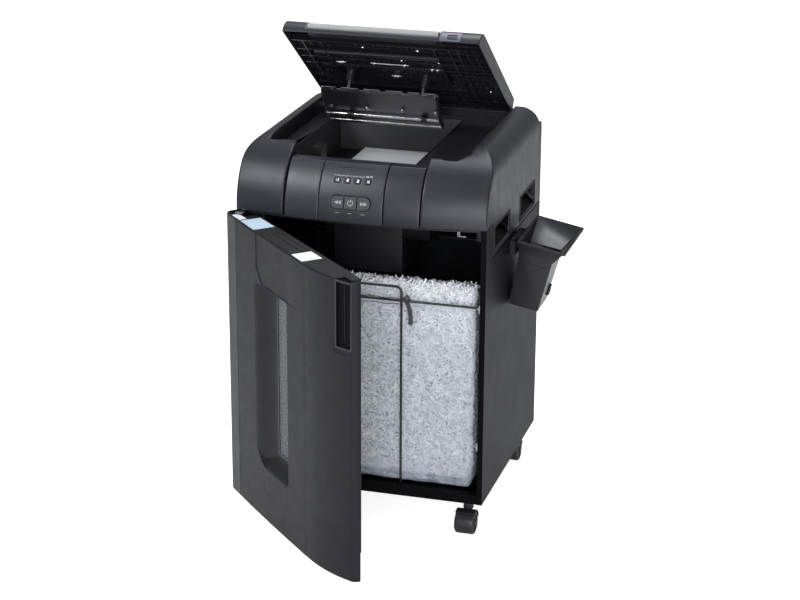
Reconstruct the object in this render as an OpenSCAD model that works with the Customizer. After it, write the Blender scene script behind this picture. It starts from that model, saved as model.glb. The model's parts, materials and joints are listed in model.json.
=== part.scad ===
// Auto-feed paper shredder: a wheeled cabinet with a bowed door, a shredder head with a
// hinged top lid, and a small waste bin for discs hung on the right side.
// The origin is on the floor, below the middle of the cabinet. +X is to the right as seen
// from the front, +Y goes to the back, +Z is up. The part is drawn with its door and lid open.

/* [Cabinet] */
// Width over the side panels
cab_w = 540; // [500:1:600]
// Depth from the front edges of the side panels to the back
cab_d = 496; // [480:1:520]
// Height of the cabinet below the head
cab_h = 607; // [590:1:640]
// Thickness of the cabinet's panels
panel_t = 12; // [8:1:15]
// Height of the cabinet's underside above the floor
caster_h = 75; // [72:1:80]

/* [Head] */
// Height of the head above the cabinet
head_h = 143; // [140:1:160]
// How far the middle of the front stands ahead of its corners
head_bow = 24; // [16:1:30]
// Radius of the front's curve from upright to flat
front_r = 140; // [130:1:143]
// Radius of the rounded shoulders over the sides
shoulder_r = 45; // [30:1:55]
// Wall thickness of the plastic covers
wall = 3; // [2.5:0.5:4]

/* [Lid] */
// Angle at which the lid rests open
lid_open = 35.5; // [20:0.5:45]
// Distance from the lid's hinge to its front edge
lid_len = 393; // [388:1:394]
// Left side of the lid
lid_left = -219; // [-220:1:-214]
// Right side of the lid
lid_right = 208; // [202:1:209]

/* [Door] */
// Angle at which the door stands open
door_open = 45.5; // [10:0.5:80]
// Thickness of the door's curved skin
door_skin_t = 4; // [3:0.5:6]

/* [Drive] */
// Distance between the two cutter shafts
cutter_gap = 52; // [50:1:54]
// Radius of the cutter discs
cutter_r = 28.5; // [27.5:0.5:29]
// Number of discs on each cutter
disc_count = 22; // [12:1:22]

/* [Casters] */
// Diameter of the caster wheels
wheel_d = 50; // [46:1:54]

/* [Hidden] */
$fn = 64;

eps = 0.5;
half_w = cab_w / 2;
front_y = -cab_d / 2;
head_top = cab_h + head_h;

// A depth behind the cabinet's front plane, and a height above the cabinet's underside
function fy(depth) = front_y + depth;
function hz(height) = caster_h + height;
// Points of an arc, from angle a to angle b
function arc(cx, cy, r, a, b, n = 12) =
    [for (i = [0 : n]) let (t = a + (b - a) * i / n) [cx + r * cos(t), cy + r * sin(t)]];

// A box given by its low and high corners
module block(lo, hi) {
    translate(lo) cube([hi[0] - lo[0], hi[1] - lo[1], hi[2] - lo[2]]);
}

// A flat shape in X and Z, drawn through the depth from y0 to y1
module through_y(y0, y1) {
    translate([0, y1, 0]) rotate([90, 0, 0]) linear_extrude(height = y1 - y0) children();
}

// A flat shape in Y and Z, drawn across from x0 to x1
module across_x(x0, x1) {
    translate([x0, 0, 0]) rotate([90, 0, 90]) linear_extrude(height = x1 - x0) children();
}

// A cylinder along X, centred at y and z
module rod_x(x0, x1, y, z, r) {
    translate([x0, y, z]) rotate([0, 90, 0]) cylinder(h = x1 - x0, r = r);
}

// A cylinder along Y, centred at x and z
module rod_y(y0, y1, x, z, r) {
    translate([x, y0, z]) rotate([-90, 0, 0]) cylinder(h = y1 - y0, r = r);
}

// A rectangle with its front corners, its near side in Y, rounded
module front_rounded(w, d, r) {
    union() {
        translate([-w / 2 + r, 0]) square([w - 2 * r, d]);
        translate([-w / 2, r]) square([w, d - r]);
        for (s = [-1, 1]) translate([s * (w / 2 - r), r]) intersection() {
            circle(r = r);
            translate([-r - 1, -r - 1]) square([2 * r + 2, r + 1.5]);
        }
    }
}

// ---------------------------------------------------------------- the head's outer form
bow_r = (half_w * half_w + head_bow * head_bow) / (2 * head_bow);
bow_y = fy(-head_bow) + bow_r;
head_corner_r = 26;
head_floor = cab_h;
skirt_floor = cab_h - 73;
skirt_front = 60;
head_reach = 620;
bow_angle = 36;

// The head as a solid, moved in on every side by inset and reaching down to floor_z
module head_form(inset = 0, floor_z = head_floor) {
    drop = hz(floor_z);
    top = hz(head_top) - inset;
    curve_z = hz(head_top) - front_r;
    intersection() {
        translate([0, bow_y, 0]) rotate([0, 0, -90 - bow_angle / 2])
            rotate_extrude(angle = bow_angle, $fn = 360) union() {
                translate([bow_r - head_reach, drop])
                    square([head_reach - inset, curve_z - drop]);
                translate([bow_r - head_reach, drop])
                    square([head_reach - front_r, top - drop]);
                intersection() {
                    translate([bow_r - front_r, curve_z]) circle(r = front_r - inset);
                    translate([bow_r - front_r - eps, curve_z - eps])
                        square([front_r + eps, front_r + eps]);
                }
            }
        translate([0, fy(-head_bow + inset), drop - eps])
            linear_extrude(height = top - drop + 2 * eps)
                front_rounded(cab_w - 2 * inset, cab_d + head_bow - 2 * inset, head_corner_r);
        through_y(fy(-head_bow - eps), fy(cab_d + eps)) union() {
            translate([-half_w + inset, drop]) square([cab_w - 2 * inset, top - shoulder_r - drop]);
            translate([-half_w + shoulder_r, drop])
                square([cab_w - 2 * shoulder_r, top - drop]);
            for (s = [-1, 1])
                translate([s * (half_w - shoulder_r), top - shoulder_r + inset])
                    circle(r = shoulder_r - inset);
        }
    }
}

// ---------------------------------------------------------------- cabinet
// Side panels are full height at the front edge and lower behind it, under the grips
module side_panel(s) {
    across_x(s > 0 ? half_w - panel_t : -half_w, s > 0 ? half_w : -half_w + panel_t)
        polygon([[fy(0), hz(0)], [fy(cab_d), hz(0)], [fy(cab_d), hz(skirt_floor - 1)],
                 [fy(skirt_front - 1), hz(skirt_floor - 1)], [fy(skirt_front - 1), hz(cab_h)],
                 [fy(0), hz(cab_h)]]);
}

module side_panel_left() {
    color("#4a4a50") side_panel(-1);
}

module side_panel_right() {
    color("#4a4a50") side_panel(1);
}

module back_panel() {
    color("#3c3c40") difference() {
        block([-half_w + panel_t, fy(cab_d - panel_t), hz(0)],
              [half_w - panel_t, fy(cab_d), hz(skirt_floor - 1)]);
        for (x = screw_xs, z = screw_zs)
            rod_y(fy(cab_d - screw_len), fy(cab_d + 1), x, hz(z), screw_r);
    }
}

base_t = 16;
caster_x = 232;
caster_front_d = 38;
caster_rear_d = 452;
stem_r = 5.5;
stem_up = 14;

module base_panel() {
    color("#2a2a2c") difference() {
        block([-half_w + panel_t, fy(19), hz(0)],
              [half_w - panel_t, fy(cab_d - panel_t), hz(base_t)]);
        for (x = [-caster_x, caster_x], d = [caster_front_d, caster_rear_d])
            translate([x, fy(d), hz(-eps)]) cylinder(h = stem_up + eps, r = stem_r + 0.05);
    }
}

rail_h = 21;

module front_rail() {
    color("#111113")
        block([-half_w + panel_t, fy(1), hz(0)], [half_w - panel_t, fy(19), hz(rail_h)]);
}

// ---------------------------------------------------------------- head base and chute
base_floor = cab_h - 3.5;
open_front = 176;
open_back = 346;
open_left = -142;
gear_bay_right = 124;
gear_bay_back = 302;
motor_bay = [252, 314];
motor_bay_right = 212;

module head_base() {
    color("#141416") difference() {
        intersection() {
            head_form(wall + 0.2, base_floor);
            block([-half_w + panel_t + 1, fy(-head_bow), hz(base_floor)],
                  [half_w - panel_t - 1, fy(cab_d - 18), hz(cab_h)]);
        }
        block([open_left, fy(open_front), hz(base_floor - eps)],
              [gear_bay_right - 20, fy(open_back), hz(cab_h + eps)]);
        block([open_left, fy(open_front), hz(base_floor - eps)],
              [gear_bay_right, fy(gear_bay_back), hz(cab_h + eps)]);
        block([gear_bay_right - 1, fy(motor_bay[0]), hz(base_floor - eps)],
              [motor_bay_right, fy(motor_bay[1]), hz(cab_h + eps)]);
        block([-half_w, fy(-head_bow - 1), hz(base_floor - eps)],
              [-half_w + 26, fy(6), hz(cab_h + eps)]);
    }
}

chute_r = 62;
chute_z = 562;
chute_x0 = -132;
chute_x1 = 99;
chute_mouth = 34;
funnel_x0 = -110;
funnel_x1 = 42;
funnel_low = 440;

// A curved black housing under the cutters, with a square funnel below it
module shred_chute() {
    color("#1d1d20") difference() {
        union() {
            block([funnel_x0, fy(slot_d - chute_r), hz(funnel_low)],
                  [funnel_x1, fy(slot_d + chute_r), hz(chute_z)]);
            rod_x(chute_x0, chute_x1, fy(slot_d), hz(chute_z), chute_r);
            block([chute_x0, fy(slot_d - chute_r), hz(chute_z)],
                  [chute_x1, fy(slot_d + chute_r), hz(base_floor)]);
        }
        rod_x(chute_x0 + wall, chute_x1 - wall, fy(slot_d), hz(chute_z), chute_r - wall);
        block([chute_x0 - 1, fy(slot_d - chute_r + wall), hz(chute_z - 6)],
              [chute_x1 + 1, fy(slot_d + chute_r - wall), hz(base_floor + eps)]);
        block([chute_x0 - 1, fy(slot_d - chute_r - 1), hz(base_floor - 0.3)],
              [chute_x1 + 1, fy(slot_d + chute_r + 1), hz(chute_z + chute_r + 1)]);
        block([funnel_x0 + wall, fy(slot_d - chute_r + wall), hz(funnel_low - 1)],
              [funnel_x1 - wall, fy(slot_d + chute_r - wall), hz(chute_z)]);
        block([chute_x0 + wall, fy(slot_d - chute_mouth), hz(chute_z - chute_r - eps)],
              [chute_x1 - wall, fy(slot_d + chute_mouth), hz(chute_z)]);
    }
}

// ---------------------------------------------------------------- side covers of the head
gap_left = -162;
gap_right = 133;
block_back_left = 86;
block_back_right = 62;
rim_left = -222;
rim_right_front = 188;
rim_right = 211;
rim_bend = 88;
hinge_pin = 12;
grip_z0 = cab_h - 64;
grip_z1 = cab_h - 12;
grip_depth = 36;
grip_starts = [68, 301];
grip_len = 132;
cheek_back = cab_d - 14;

module left_region(i) {
    polygon([[-half_w - 1 + i, fy(-head_bow - 1)], [gap_left - i, fy(-head_bow - 1)],
             [gap_left - i, fy(block_back_left - i)], [rim_left - i, fy(block_back_left - i)],
             [rim_left - i, fy(cheek_back - i)], [-half_w - 1 + i, fy(cheek_back - i)]]);
}

module right_region(i) {
    polygon([[half_w + 1 - i, fy(-head_bow - 1)], [gap_right + i, fy(-head_bow - 1)],
             [gap_right + i, fy(block_back_right - i)],
             [rim_right_front + i, fy(block_back_right - i)], [rim_right + i, fy(rim_bend - i)],
             [rim_right + i, fy(cheek_back - i)], [half_w + 1 - i, fy(cheek_back - i)]]);
}

// The skirt behind the front corner, which holds the grips
module skirt_cut(s) {
    union() {
        block([-half_w - 1, fy(-head_bow - 1), hz(0)], [half_w + 1, fy(skirt_front), hz(head_floor)]);
        block([s > 0 ? -half_w : -half_w + panel_t, fy(skirt_front - eps), hz(0)],
              [s > 0 ? half_w - panel_t : half_w, fy(cab_d), hz(head_floor)]);
    }
}

// Section of a grip's hollow: a deep finger slot over a sloping sill
module grip_hollow(t) {
    polygon([[half_w + 1, grip_z0 - t], [half_w - 18, grip_z0 + 22 - t],
             [half_w - grip_depth - t, grip_z0 + 22 - t],
             [half_w - grip_depth - t, grip_z1 + t], [half_w + 1, grip_z1 + t]]);
}

// The grip pockets of the right side
module grips(t, reach) {
    for (d = grip_starts)
        translate([0, 0, caster_h]) intersection() {
            through_y(fy(d - t), fy(d + grip_len + t)) grip_hollow(t);
            block([0, fy(0), 0], [half_w + reach, fy(cab_d), head_top]);
        }
}

module cheek(s) {
    hinge_x = s < 0 ? rim_left : rim_right;
    difference() {
        union() {
            difference() {
                intersection() {
                    head_form(0, skirt_floor);
                    linear_extrude(height = hz(head_top) + 1)
                        if (s < 0) left_region(0); else right_region(0);
                }
                intersection() {
                    head_form(wall, skirt_floor - 2);
                    linear_extrude(height = hz(head_top) + 1)
                        if (s < 0) left_region(wall); else right_region(wall);
                }
                skirt_cut(s);
            }
            mirror([s < 0 ? 1 : 0, 0, 0]) grips(wall, -0.2);
            rod_x(min(hinge_x + s * 2, hinge_x - s * hinge_pin),
                  max(hinge_x + s * 2, hinge_x - s * hinge_pin), fy(hinge_back), hz(hinge_up), pin_r);
        }
        mirror([s < 0 ? 1 : 0, 0, 0]) grips(0, 5);
    }
}

module cheek_left() {
    color("#6b6b70") cheek(-1);
}

module cheek_right() {
    color("#6b6b70") cheek(1);
}

// ---------------------------------------------------------------- rear cover
vent_count = 9;
inlet_x = 150;
inlet_z = 40;
switch_x = 96;

module rear_cover() {
    color("#55555a") union() {
        rear_shell();
        for (s = [-1, 1]) difference() {
            block([switch_x + s * 11 - 1.5, fy(rocker_d - 5), hz(head_floor + inlet_z - 5)],
                  [switch_x + s * 11 + 1.5, fy(cab_d - wall + 0.2), hz(head_floor + inlet_z + 5)]);
            rod_x(switch_x - 14, switch_x + 14, fy(rocker_d), hz(head_floor + inlet_z), rocker_pin + 0.05);
        }
    }
}

module rear_shell() {
    difference() {
        intersection() {
            head_form(0, skirt_floor);
            union() {
                block([-half_w, fy(cheek_back + 0.3), hz(skirt_floor)],
                      [half_w, fy(cab_d), hz(deck_z - 1)]);
                block([lid_left + hinge_pin + 1, fy(cheek_back + 0.3), hz(deck_z - 2)],
                      [lid_right - hinge_pin - 1, fy(cab_d), hz(hinge_up + 2)]);
            }
        }
        block([-half_w + 6, fy(cheek_back), hz(skirt_floor - 1)],
              [half_w - 6, fy(cab_d - wall), hz(deck_z - 6)]);
        for (i = [0 : vent_count - 1])
            block([-160, fy(cab_d - 10), hz(head_floor + 22 + i * 9)],
                  [-20, fy(cab_d + 1), hz(head_floor + 26 + i * 9)]);
        block([inlet_x - 14.2, fy(cab_d - 10), hz(head_floor + inlet_z - 12.2)],
              [inlet_x + 14.2, fy(cab_d + 1), hz(head_floor + inlet_z + 12.2)]);
        block([switch_x - 9.5, fy(cab_d - 10), hz(head_floor + inlet_z - 14.4)],
              [switch_x + 9.5, fy(cab_d + 1), hz(head_floor + inlet_z + 14.4)]);
    }
}

// A recessed three-pin mains socket
module power_inlet() {
    color("#0c0c0e") union() {
        difference() {
            union() {
                block([inlet_x - 14, fy(cab_d - 26), hz(head_floor + inlet_z - 12)],
                      [inlet_x + 14, fy(cab_d - 0.6), hz(head_floor + inlet_z + 12)]);
                block([inlet_x - 18, fy(cab_d - wall - 2), hz(head_floor + inlet_z - 16)],
                      [inlet_x + 18, fy(cab_d - wall), hz(head_floor + inlet_z + 16)]);
            }
            block([inlet_x - 11, fy(cab_d - 20), hz(head_floor + inlet_z - 8.5)],
                  [inlet_x + 11, fy(cab_d), hz(head_floor + inlet_z + 8.5)]);
        }
        for (p = [[-6, -2], [6, -2], [0, 3]])
            block([inlet_x + p[0] - 1, fy(cab_d - 21), hz(head_floor + inlet_z + p[1] - 2)],
                  [inlet_x + p[0] + 1, fy(cab_d - 6), hz(head_floor + inlet_z + p[1] + 2)]);
    }
}

rocker_d = cab_d - 7;
rocker_pin = 2.5;
rocker_z = head_floor + inlet_z;

// A rocker that turns about X, just inside the rear cover's face
module power_switch() {
    color("#18181a") union() {
        across_x(switch_x - 9, switch_x + 9)
            polygon([[fy(rocker_d - 3), hz(rocker_z - 12)], [fy(rocker_d + 1), hz(rocker_z - 12)],
                     [fy(rocker_d + 3), hz(rocker_z)], [fy(rocker_d + 6), hz(rocker_z + 12)],
                     [fy(rocker_d - 3), hz(rocker_z + 12)]]);
        rod_x(switch_x - 12, switch_x + 12, fy(rocker_d), hz(rocker_z), rocker_pin);
    }
}

// ---------------------------------------------------------------- front panels
seam_gap = 1;
seam_1 = -83;
seam_2 = 55;
panel_left = -158;
panel_top = cab_h + 113;
ledge_back = 58;

module front_strip(x0, x1) {
    difference() {
        intersection() {
            head_form(0);
            block([x0, fy(-head_bow - 1), hz(cab_h)], [x1, fy(ledge_back), hz(panel_top)]);
        }
        intersection() {
            head_form(wall);
            block([x0 - 1, fy(-head_bow - 1), hz(cab_h - 1)],
                  [x1 + 1, fy(ledge_back + 1), hz(panel_top - wall)]);
        }
    }
}

module front_panel_left() {
    color("#77777b") front_strip(panel_left, seam_1 - seam_gap);
}

module front_panel_right() {
    color("#77777b") front_strip(seam_2 + seam_gap, gap_right - seam_gap);
}

// The buttons and lamps sit square to the front's curve, at these heights
control_x = (seam_1 + seam_2) / 2;
button_h = cab_h + 41;
lamp_h = cab_h + 83;
curve_h = head_top - front_r;
button_tilt = asin((button_h - curve_h) / front_r);
lamp_tilt = asin((lamp_h - curve_h) / front_r);
front_mid_y = -head_bow + 0.6;
button_w = 24;
button_tall = 26;
button_pitch = 28;
board_z = -14;
lamp_pitch = 22;
lamp_s = 11;

// Frame on the front's curve: local +Z goes out of the face, local Y goes up the face
module on_front(x, tilt) {
    translate([x, fy(front_mid_y + front_r), hz(curve_h)]) rotate([-tilt, 0, 0])
        translate([0, -front_r, 0]) rotate([90, 0, 0]) children();
}

module slot_form(w, h, r) {
    union() {
        square([w - 2 * r, h], center = true);
        square([w, h - 2 * r], center = true);
        for (a = [-1, 1], b = [-1, 1]) translate([a * (w / 2 - r), b * (h / 2 - r)]) circle(r = r);
    }
}

module control_panel() {
    color("#6e6e73") difference() {
        front_strip(seam_1, seam_2);
        on_front(control_x, button_tilt)
            translate([0, 0, -8]) linear_extrude(height = 12)
                slot_form(3 * button_pitch + 3, button_tall + 3, 13.5);
        for (i = [-1.5 : 1 : 1.5])
            on_front(control_x + i * lamp_pitch, lamp_tilt)
                translate([-lamp_s / 2 - 0.2, -lamp_s / 2 - 0.2, -10])
                    cube([lamp_s + 0.4, lamp_s + 0.4, 14]);
    }
}

// One push button; the outer two are rounded on their outer side
module button(i) {
    on_front(control_x, button_tilt) union() {
        intersection() {
            translate([0, 0, -5]) linear_extrude(height = 6) slot_form(3 * button_pitch, button_tall, 12);
            translate([i * button_pitch - button_w / 2 - (i < 0 ? 3 : 1), -button_tall, -6])
                cube([button_w + (i == 0 ? 2 : 4), 2 * button_tall, 10]);
        }
        translate([i * button_pitch, 0, board_z + 2]) cylinder(h = -4 - board_z - 2, r = 3);
    }
}

module button_reverse() {
    color("#303034") button(-1);
}

module button_power() {
    color("#303034") button(0);
}

module button_forward() {
    color("#303034") button(1);
}

module indicator_lamps() {
    color("#08080a") for (i = [-1.5 : 1 : 1.5])
        on_front(control_x + i * lamp_pitch, lamp_tilt)
            translate([-lamp_s / 2, -lamp_s / 2, -4]) cube([lamp_s, lamp_s, 4.4]);
}

module circuit_board() {
    color("#1c5a34") on_front(control_x, button_tilt) union() {
        translate([-58, -24, board_z - 1.6]) cube([116, 68, 1.6]);
        for (x = [-40, -10, 24]) translate([x, 24, board_z - 5.5]) cube([14, 10, 4]);
        translate([-50, -18, board_z - 7.5]) cube([30, 16, 6]);
    }
}

// ---------------------------------------------------------------- deck and tray
deck_z = cab_h + 110;
tray_x0 = -182;
tray_x1 = 104;
tray_y0 = ledge_back + 2;
tray_step = block_back_left + 2;
tray_mouth_x0 = gap_left + 2;
tray_y1 = 444;
tray_floor = cab_h + 25;
tray_wall = 2.5;
feed_d = 330;
feed_z = tray_floor - 13;
feed_r = 14;
feed_xs = [-74, -34, 6, 46];
slot_d = 236;

module feed_deck() {
    color("#1b1b1d") union() {
        deck_plate();
        for (x = [-212, 188], d = [104, 462])
            block([x, fy(d), hz(cab_h)], [x + 9, fy(d + 9), hz(deck_z - wall + 0.2)]);
    }
}

module deck_plate() {
    difference() {
        linear_extrude(height = hz(deck_z)) polygon([
            [gap_left + 1, fy(ledge_back + 1)], [gap_right - 1, fy(ledge_back + 1)],
            [gap_right - 1, fy(block_back_right + 0.5)],
            [rim_right_front - 0.5, fy(block_back_right + 0.5)], [rim_right - 0.5, fy(rim_bend)],
            [rim_right - 0.5, fy(cheek_back)], [rim_left + 0.5, fy(cheek_back)],
            [rim_left + 0.5, fy(block_back_left + 0.5)],
            [gap_left + 1, fy(block_back_left + 0.5)]]);
        block([-half_w, fy(0), -1], [half_w, fy(cab_d), hz(deck_z - wall)]);
        block([gap_left, fy(ledge_back), 0], [tray_x1, fy(tray_step + 1), hz(deck_z + 1)]);
        block([tray_x0, fy(tray_step), 0], [tray_x1, fy(tray_y1), hz(deck_z + 1)]);
    }
}

module paper_tray() {
    color("#57575c") union() {
        tray_shell();
        for (x = [tray_mouth_x0 + 4, tray_x1 - 12], d = [tray_y0 + 10, tray_y1 - 18])
            block([x, fy(d), hz(cab_h)], [x + 8, fy(d + 8), hz(tray_floor - tray_wall + 0.2)]);
    }
}

// The tray seen from above, narrower where it passes the left cover, moved in by t
module tray_plan(t) {
    polygon([[tray_x0 + t, fy(tray_step + t)], [tray_mouth_x0 + t, fy(tray_step + t)],
             [tray_mouth_x0 + t, fy(tray_y0 + t)], [tray_x1 - t, fy(tray_y0 + t)],
             [tray_x1 - t, fy(tray_y1 - t)], [tray_x0 + t, fy(tray_y1 - t)]]);
}

module tray_shell() {
    difference() {
        translate([0, 0, hz(tray_floor - tray_wall)])
            linear_extrude(height = deck_z + 1.5 - tray_floor + tray_wall) tray_plan(0.3);
        translate([0, 0, hz(tray_floor)]) linear_extrude(height = deck_z + 2 - tray_floor)
            tray_plan(tray_wall);
        block([paper_x0 - 6, fy(slot_d - 7), hz(tray_floor - tray_wall - 1)],
              [paper_x0 + paper_w + 6, fy(slot_d + 7), hz(tray_floor + 1)]);
        block([feed_xs[0] - 13, fy(feed_d - 20), hz(tray_floor - tray_wall - 1)],
              [feed_xs[3] + 13, fy(feed_d + 20), hz(tray_floor + 1)]);
    }
}

paper_x0 = -119;
paper_w = 210;
paper_l = 297;
paper_front = 134;
paper_t = 8;
paper_z = feed_z + feed_r + 0.3;

module paper_stack() {
    color("white")
        block([paper_x0, fy(paper_front), hz(paper_z)],
              [paper_x0 + paper_w, fy(paper_front + paper_l), hz(paper_z + paper_t)]);
}

// A block beside the sheets that keeps them square, on the tray's left
module paper_guide() {
    color("#2a2a2e") union() {
        block([-142, fy(122), hz(tray_floor)], [paper_x0 - 3, fy(162), hz(deck_z + 6)]);
        block([-166, fy(128), hz(tray_floor)], [-142, fy(150), hz(tray_floor + 30)]);
    }
}

// ---------------------------------------------------------------- feed roller
frame_t = 3;
frame_left = -138;
frame_right = 101;
shaft_r = 12;
feed_shaft_r = 4;

module feed_roller() {
    color("silver")
        rod_x(frame_left - 8, frame_right + 8, fy(feed_d), hz(feed_z), feed_shaft_r);
}

module feed_tyres() {
    color("#202022") for (x = feed_xs) difference() {
        rod_x(x - 9, x + 9, fy(feed_d), hz(feed_z), feed_r);
        rod_x(x - 10, x + 10, fy(feed_d), hz(feed_z), feed_shaft_r);
    }
}

// ---------------------------------------------------------------- cutters and gears
cutter_z = cab_h - 16;
cutter_y1 = slot_d - cutter_gap / 2;
cutter_y2 = slot_d + cutter_gap / 2;
gear_x0 = frame_right + frame_t + 2;
gear_t = 10;
gear_teeth = 20;
gear_m = cutter_gap / gear_teeth;
pinion_teeth = 12;
pinion_angle = 60;
pinion_gap = gear_m * (gear_teeth + pinion_teeth) / 2;
pinion_y = cutter_y2 + pinion_gap * cos(pinion_angle);
pinion_z = cutter_z + pinion_gap * sin(pinion_angle);
motor_r = 34;
motor_shaft_r = 5;
disc_pitch = 10.4;
disc_t = 4.4;
disc_x0 = frame_left + frame_t + 4;

// A toothed wheel from tooth count and module, turned so that one tooth points at 'at'
module gear_form(teeth, m, at) {
    pitch = teeth * m / 2;
    tip = pitch + 0.75 * m;
    root = pitch - 1.05 * m;
    polygon([for (i = [0 : teeth - 1], p = [[root, -1.24], [pitch, -0.78], [tip, -0.36],
                                            [tip, 0.36], [pitch, 0.78], [root, 1.24]])
        let (a = at + i * 360 / teeth + p[1] * 90 / teeth) [p[0] * cos(a), p[0] * sin(a)]]);
}

module gear_at(y, z, teeth, at) {
    translate([gear_x0, fy(y), hz(z)]) rotate([90, 0, 90])
        linear_extrude(height = gear_t) gear_form(teeth, gear_m, at);
}

module hooked_disc(turn) {
    hooks = 8;
    rotate([0, 0, turn]) polygon([for (i = [0 : hooks - 1], p = [[0, 1], [4, 0.9], [38, 0.97]])
        let (a = i * 360 / hooks + p[0]) [cutter_r * p[1] * cos(a), cutter_r * p[1] * sin(a)]]);
}

module cutter(y, shift, turn) {
    union() {
        rod_x(frame_left - 6, gear_x0 - 0.5, fy(y), hz(cutter_z), shaft_r);
        for (i = [0 : disc_count - 1])
            translate([disc_x0 + shift + i * disc_pitch, fy(y), hz(cutter_z)]) rotate([90, 0, 90])
                linear_extrude(height = disc_t) hooked_disc(turn + i * 9);
    }
}

module cutter_front() {
    color("#8c8c90") cutter(cutter_y1, 0, 0);
}

module cutter_rear() {
    color("#8c8c90") cutter(cutter_y2, disc_pitch / 2, 20);
}

hub_r = 6;

module gear_front() {
    color("#9a9aa0") union() {
        gear_at(cutter_y1, cutter_z, gear_teeth, 0);
        rod_x(gear_x0 - 0.5, gear_x0, fy(cutter_y1), hz(cutter_z), hub_r);
    }
}

module gear_rear() {
    color("#9a9aa0") union() {
        gear_at(cutter_y2, cutter_z, gear_teeth, 180 / gear_teeth);
        rod_x(gear_x0 - 0.5, gear_x0, fy(cutter_y2), hz(cutter_z), hub_r);
    }
}

// The rear gear has a tooth where 'at' says; the pinion shows it a gap on the line of centres
rear_phase = (pinion_angle - 180 / gear_teeth) * gear_teeth / 360;
pinion_phase = (rear_phase - floor(rear_phase)) * 360 / pinion_teeth;

module motor_pinion() {
    color("#b0a060") union() {
        gear_at(pinion_y, pinion_z, pinion_teeth,
                pinion_angle + 180 + 180 / pinion_teeth + pinion_phase);
        rod_x(gear_x0 + gear_t, gear_x0 + gear_t + 14, fy(pinion_y), hz(pinion_z), motor_shaft_r);
    }
}

motor_x0 = gear_x0 + gear_t + 8;
motor_len = 84;

module motor() {
    color("#3b3b3f") difference() {
        union() {
            rod_x(motor_x0, motor_x0 + motor_len, fy(pinion_y), hz(pinion_z), motor_r);
            rod_x(motor_x0 - 4, motor_x0, fy(pinion_y), hz(pinion_z), 14);
            block([motor_x0 + 12, fy(pinion_y - 44), hz(cab_h)],
                  [motor_x0 + motor_len - 12, fy(pinion_y + 44), hz(cab_h + 4)]);
        }
        rod_x(motor_x0 - 5, motor_x0 + 10, fy(pinion_y), hz(pinion_z), motor_shaft_r + 0.05);
    }
}

// Two steel side plates with bores for the shafts, tie rods, and stripper fingers
module cutter_frame() {
    color("#707076") difference() {
        union() {
            for (x = [frame_left, frame_right]) {
                block([x, fy(slot_d - 56), hz(cutter_z - 34)],
                      [x + frame_t, fy(slot_d + 56), hz(tray_floor - tray_wall - 1)]);
                block([x, fy(open_front - 10), hz(cab_h)],
                      [x + frame_t, fy(open_back + 14), hz(tray_floor - tray_wall - 1)]);
            }
            for (s = [-1, 1])
                rod_x(frame_left, frame_right + frame_t, fy(slot_d + s * 52), hz(cutter_z - 26), 4);
            for (i = [0 : disc_count - 1]) {
                block([disc_x0 + i * disc_pitch + disc_t + 1.6, fy(slot_d - 53), hz(cutter_z - 28)],
                      [disc_x0 + (i + 1) * disc_pitch - 1.6, fy(slot_d - 40), hz(cutter_z - 24)]);
                block([disc_x0 + (i - 0.5) * disc_pitch + disc_t + 1.6, fy(slot_d + 40), hz(cutter_z - 28)],
                      [disc_x0 + (i + 0.5) * disc_pitch - 1.6, fy(slot_d + 53), hz(cutter_z - 24)]);
            }
        }
        for (d = [cutter_y1, cutter_y2])
            rod_x(frame_left - 1, frame_right + frame_t + 1, fy(d), hz(cutter_z), shaft_r + 0.05);
        rod_x(frame_left - 1, frame_right + frame_t + 1, fy(feed_d), hz(feed_z), feed_shaft_r + 0.05);
    }
}

// ---------------------------------------------------------------- lid
hinge_back = 480;
hinge_up = cab_h + 126;
lid_rim = -6;
lid_top = 30;
lip_r = 36;
lid_tail = -10;
knuckle_r = 8;
notch_x0 = -167;
notch_x1 = 119;
notch_v = 6;
notch_depth = 42;
pin_r = 4;

// Everything on the lid is drawn closed, with y = -distance from the hinge and z = height
module lid_place() {
    translate([0, fy(hinge_back), hz(hinge_up)]) rotate([-lid_open, 0, 0]) children();
}

module lid_side_form(t) {
    intersection() {
        union() {
            translate([-lid_len + lip_r, lid_rim])
                square([lid_len - lip_r + lid_tail - t, lid_top - lid_rim - t]);
            translate([-lid_len + lip_r, lid_top - lip_r]) circle(r = lip_r - t);
        }
        translate([-lid_len - 1, lid_rim - (t > 0 ? 1 : 0)]) square([lid_len + 20, 60]);
    }
}

module lid_notch(t) {
    block([notch_x0 - t, -lid_len - 10, notch_v - t], [notch_x1 + t, -lid_len + notch_depth + t, 60]);
}

// A shell open underneath, with a notch in its front lip and a hinge knuckle at each side
module lid_shell() {
    color("#737378") lid_place() difference() {
        union() {
            difference() {
                across_x(lid_left, lid_right) lid_side_form(0);
                difference() {
                    across_x(lid_left + wall, lid_right - wall) union() {
                        lid_side_form(wall);
                        translate([-lid_len + lip_r, lid_rim - 1])
                            square([lid_len - lip_r + lid_tail - wall, 12]);
                    }
                    lid_notch(wall);
                }
                lid_notch(0);
            }
            for (x = [lid_left, lid_right - 10]) {
                rod_x(x, x + 10, 0, 0, knuckle_r);
                block([x, lid_tail - 4, lid_rim], [x + 10, 0, knuckle_r]);
            }
        }
        rod_x(lid_left - 1, lid_left + 11, 0, 0, pin_r + 0.05);
        rod_x(lid_right - 11, lid_right + 1, 0, 0, pin_r + 0.05);
    }
}

// The silver grip bar along the front lip
module lid_rail() {
    color("#c9c9cc") lid_place() across_x(notch_x0 + 1, notch_x1 - 1) union() {
        translate([-lid_len + 9.5, notch_v + 7]) circle(r = 7);
        translate([-lid_len + 9.5, notch_v]) square([14, 14]);
    }
}

latch_x0 = 123;
latch_x1 = 168;
latch_t = 1.4;

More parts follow.
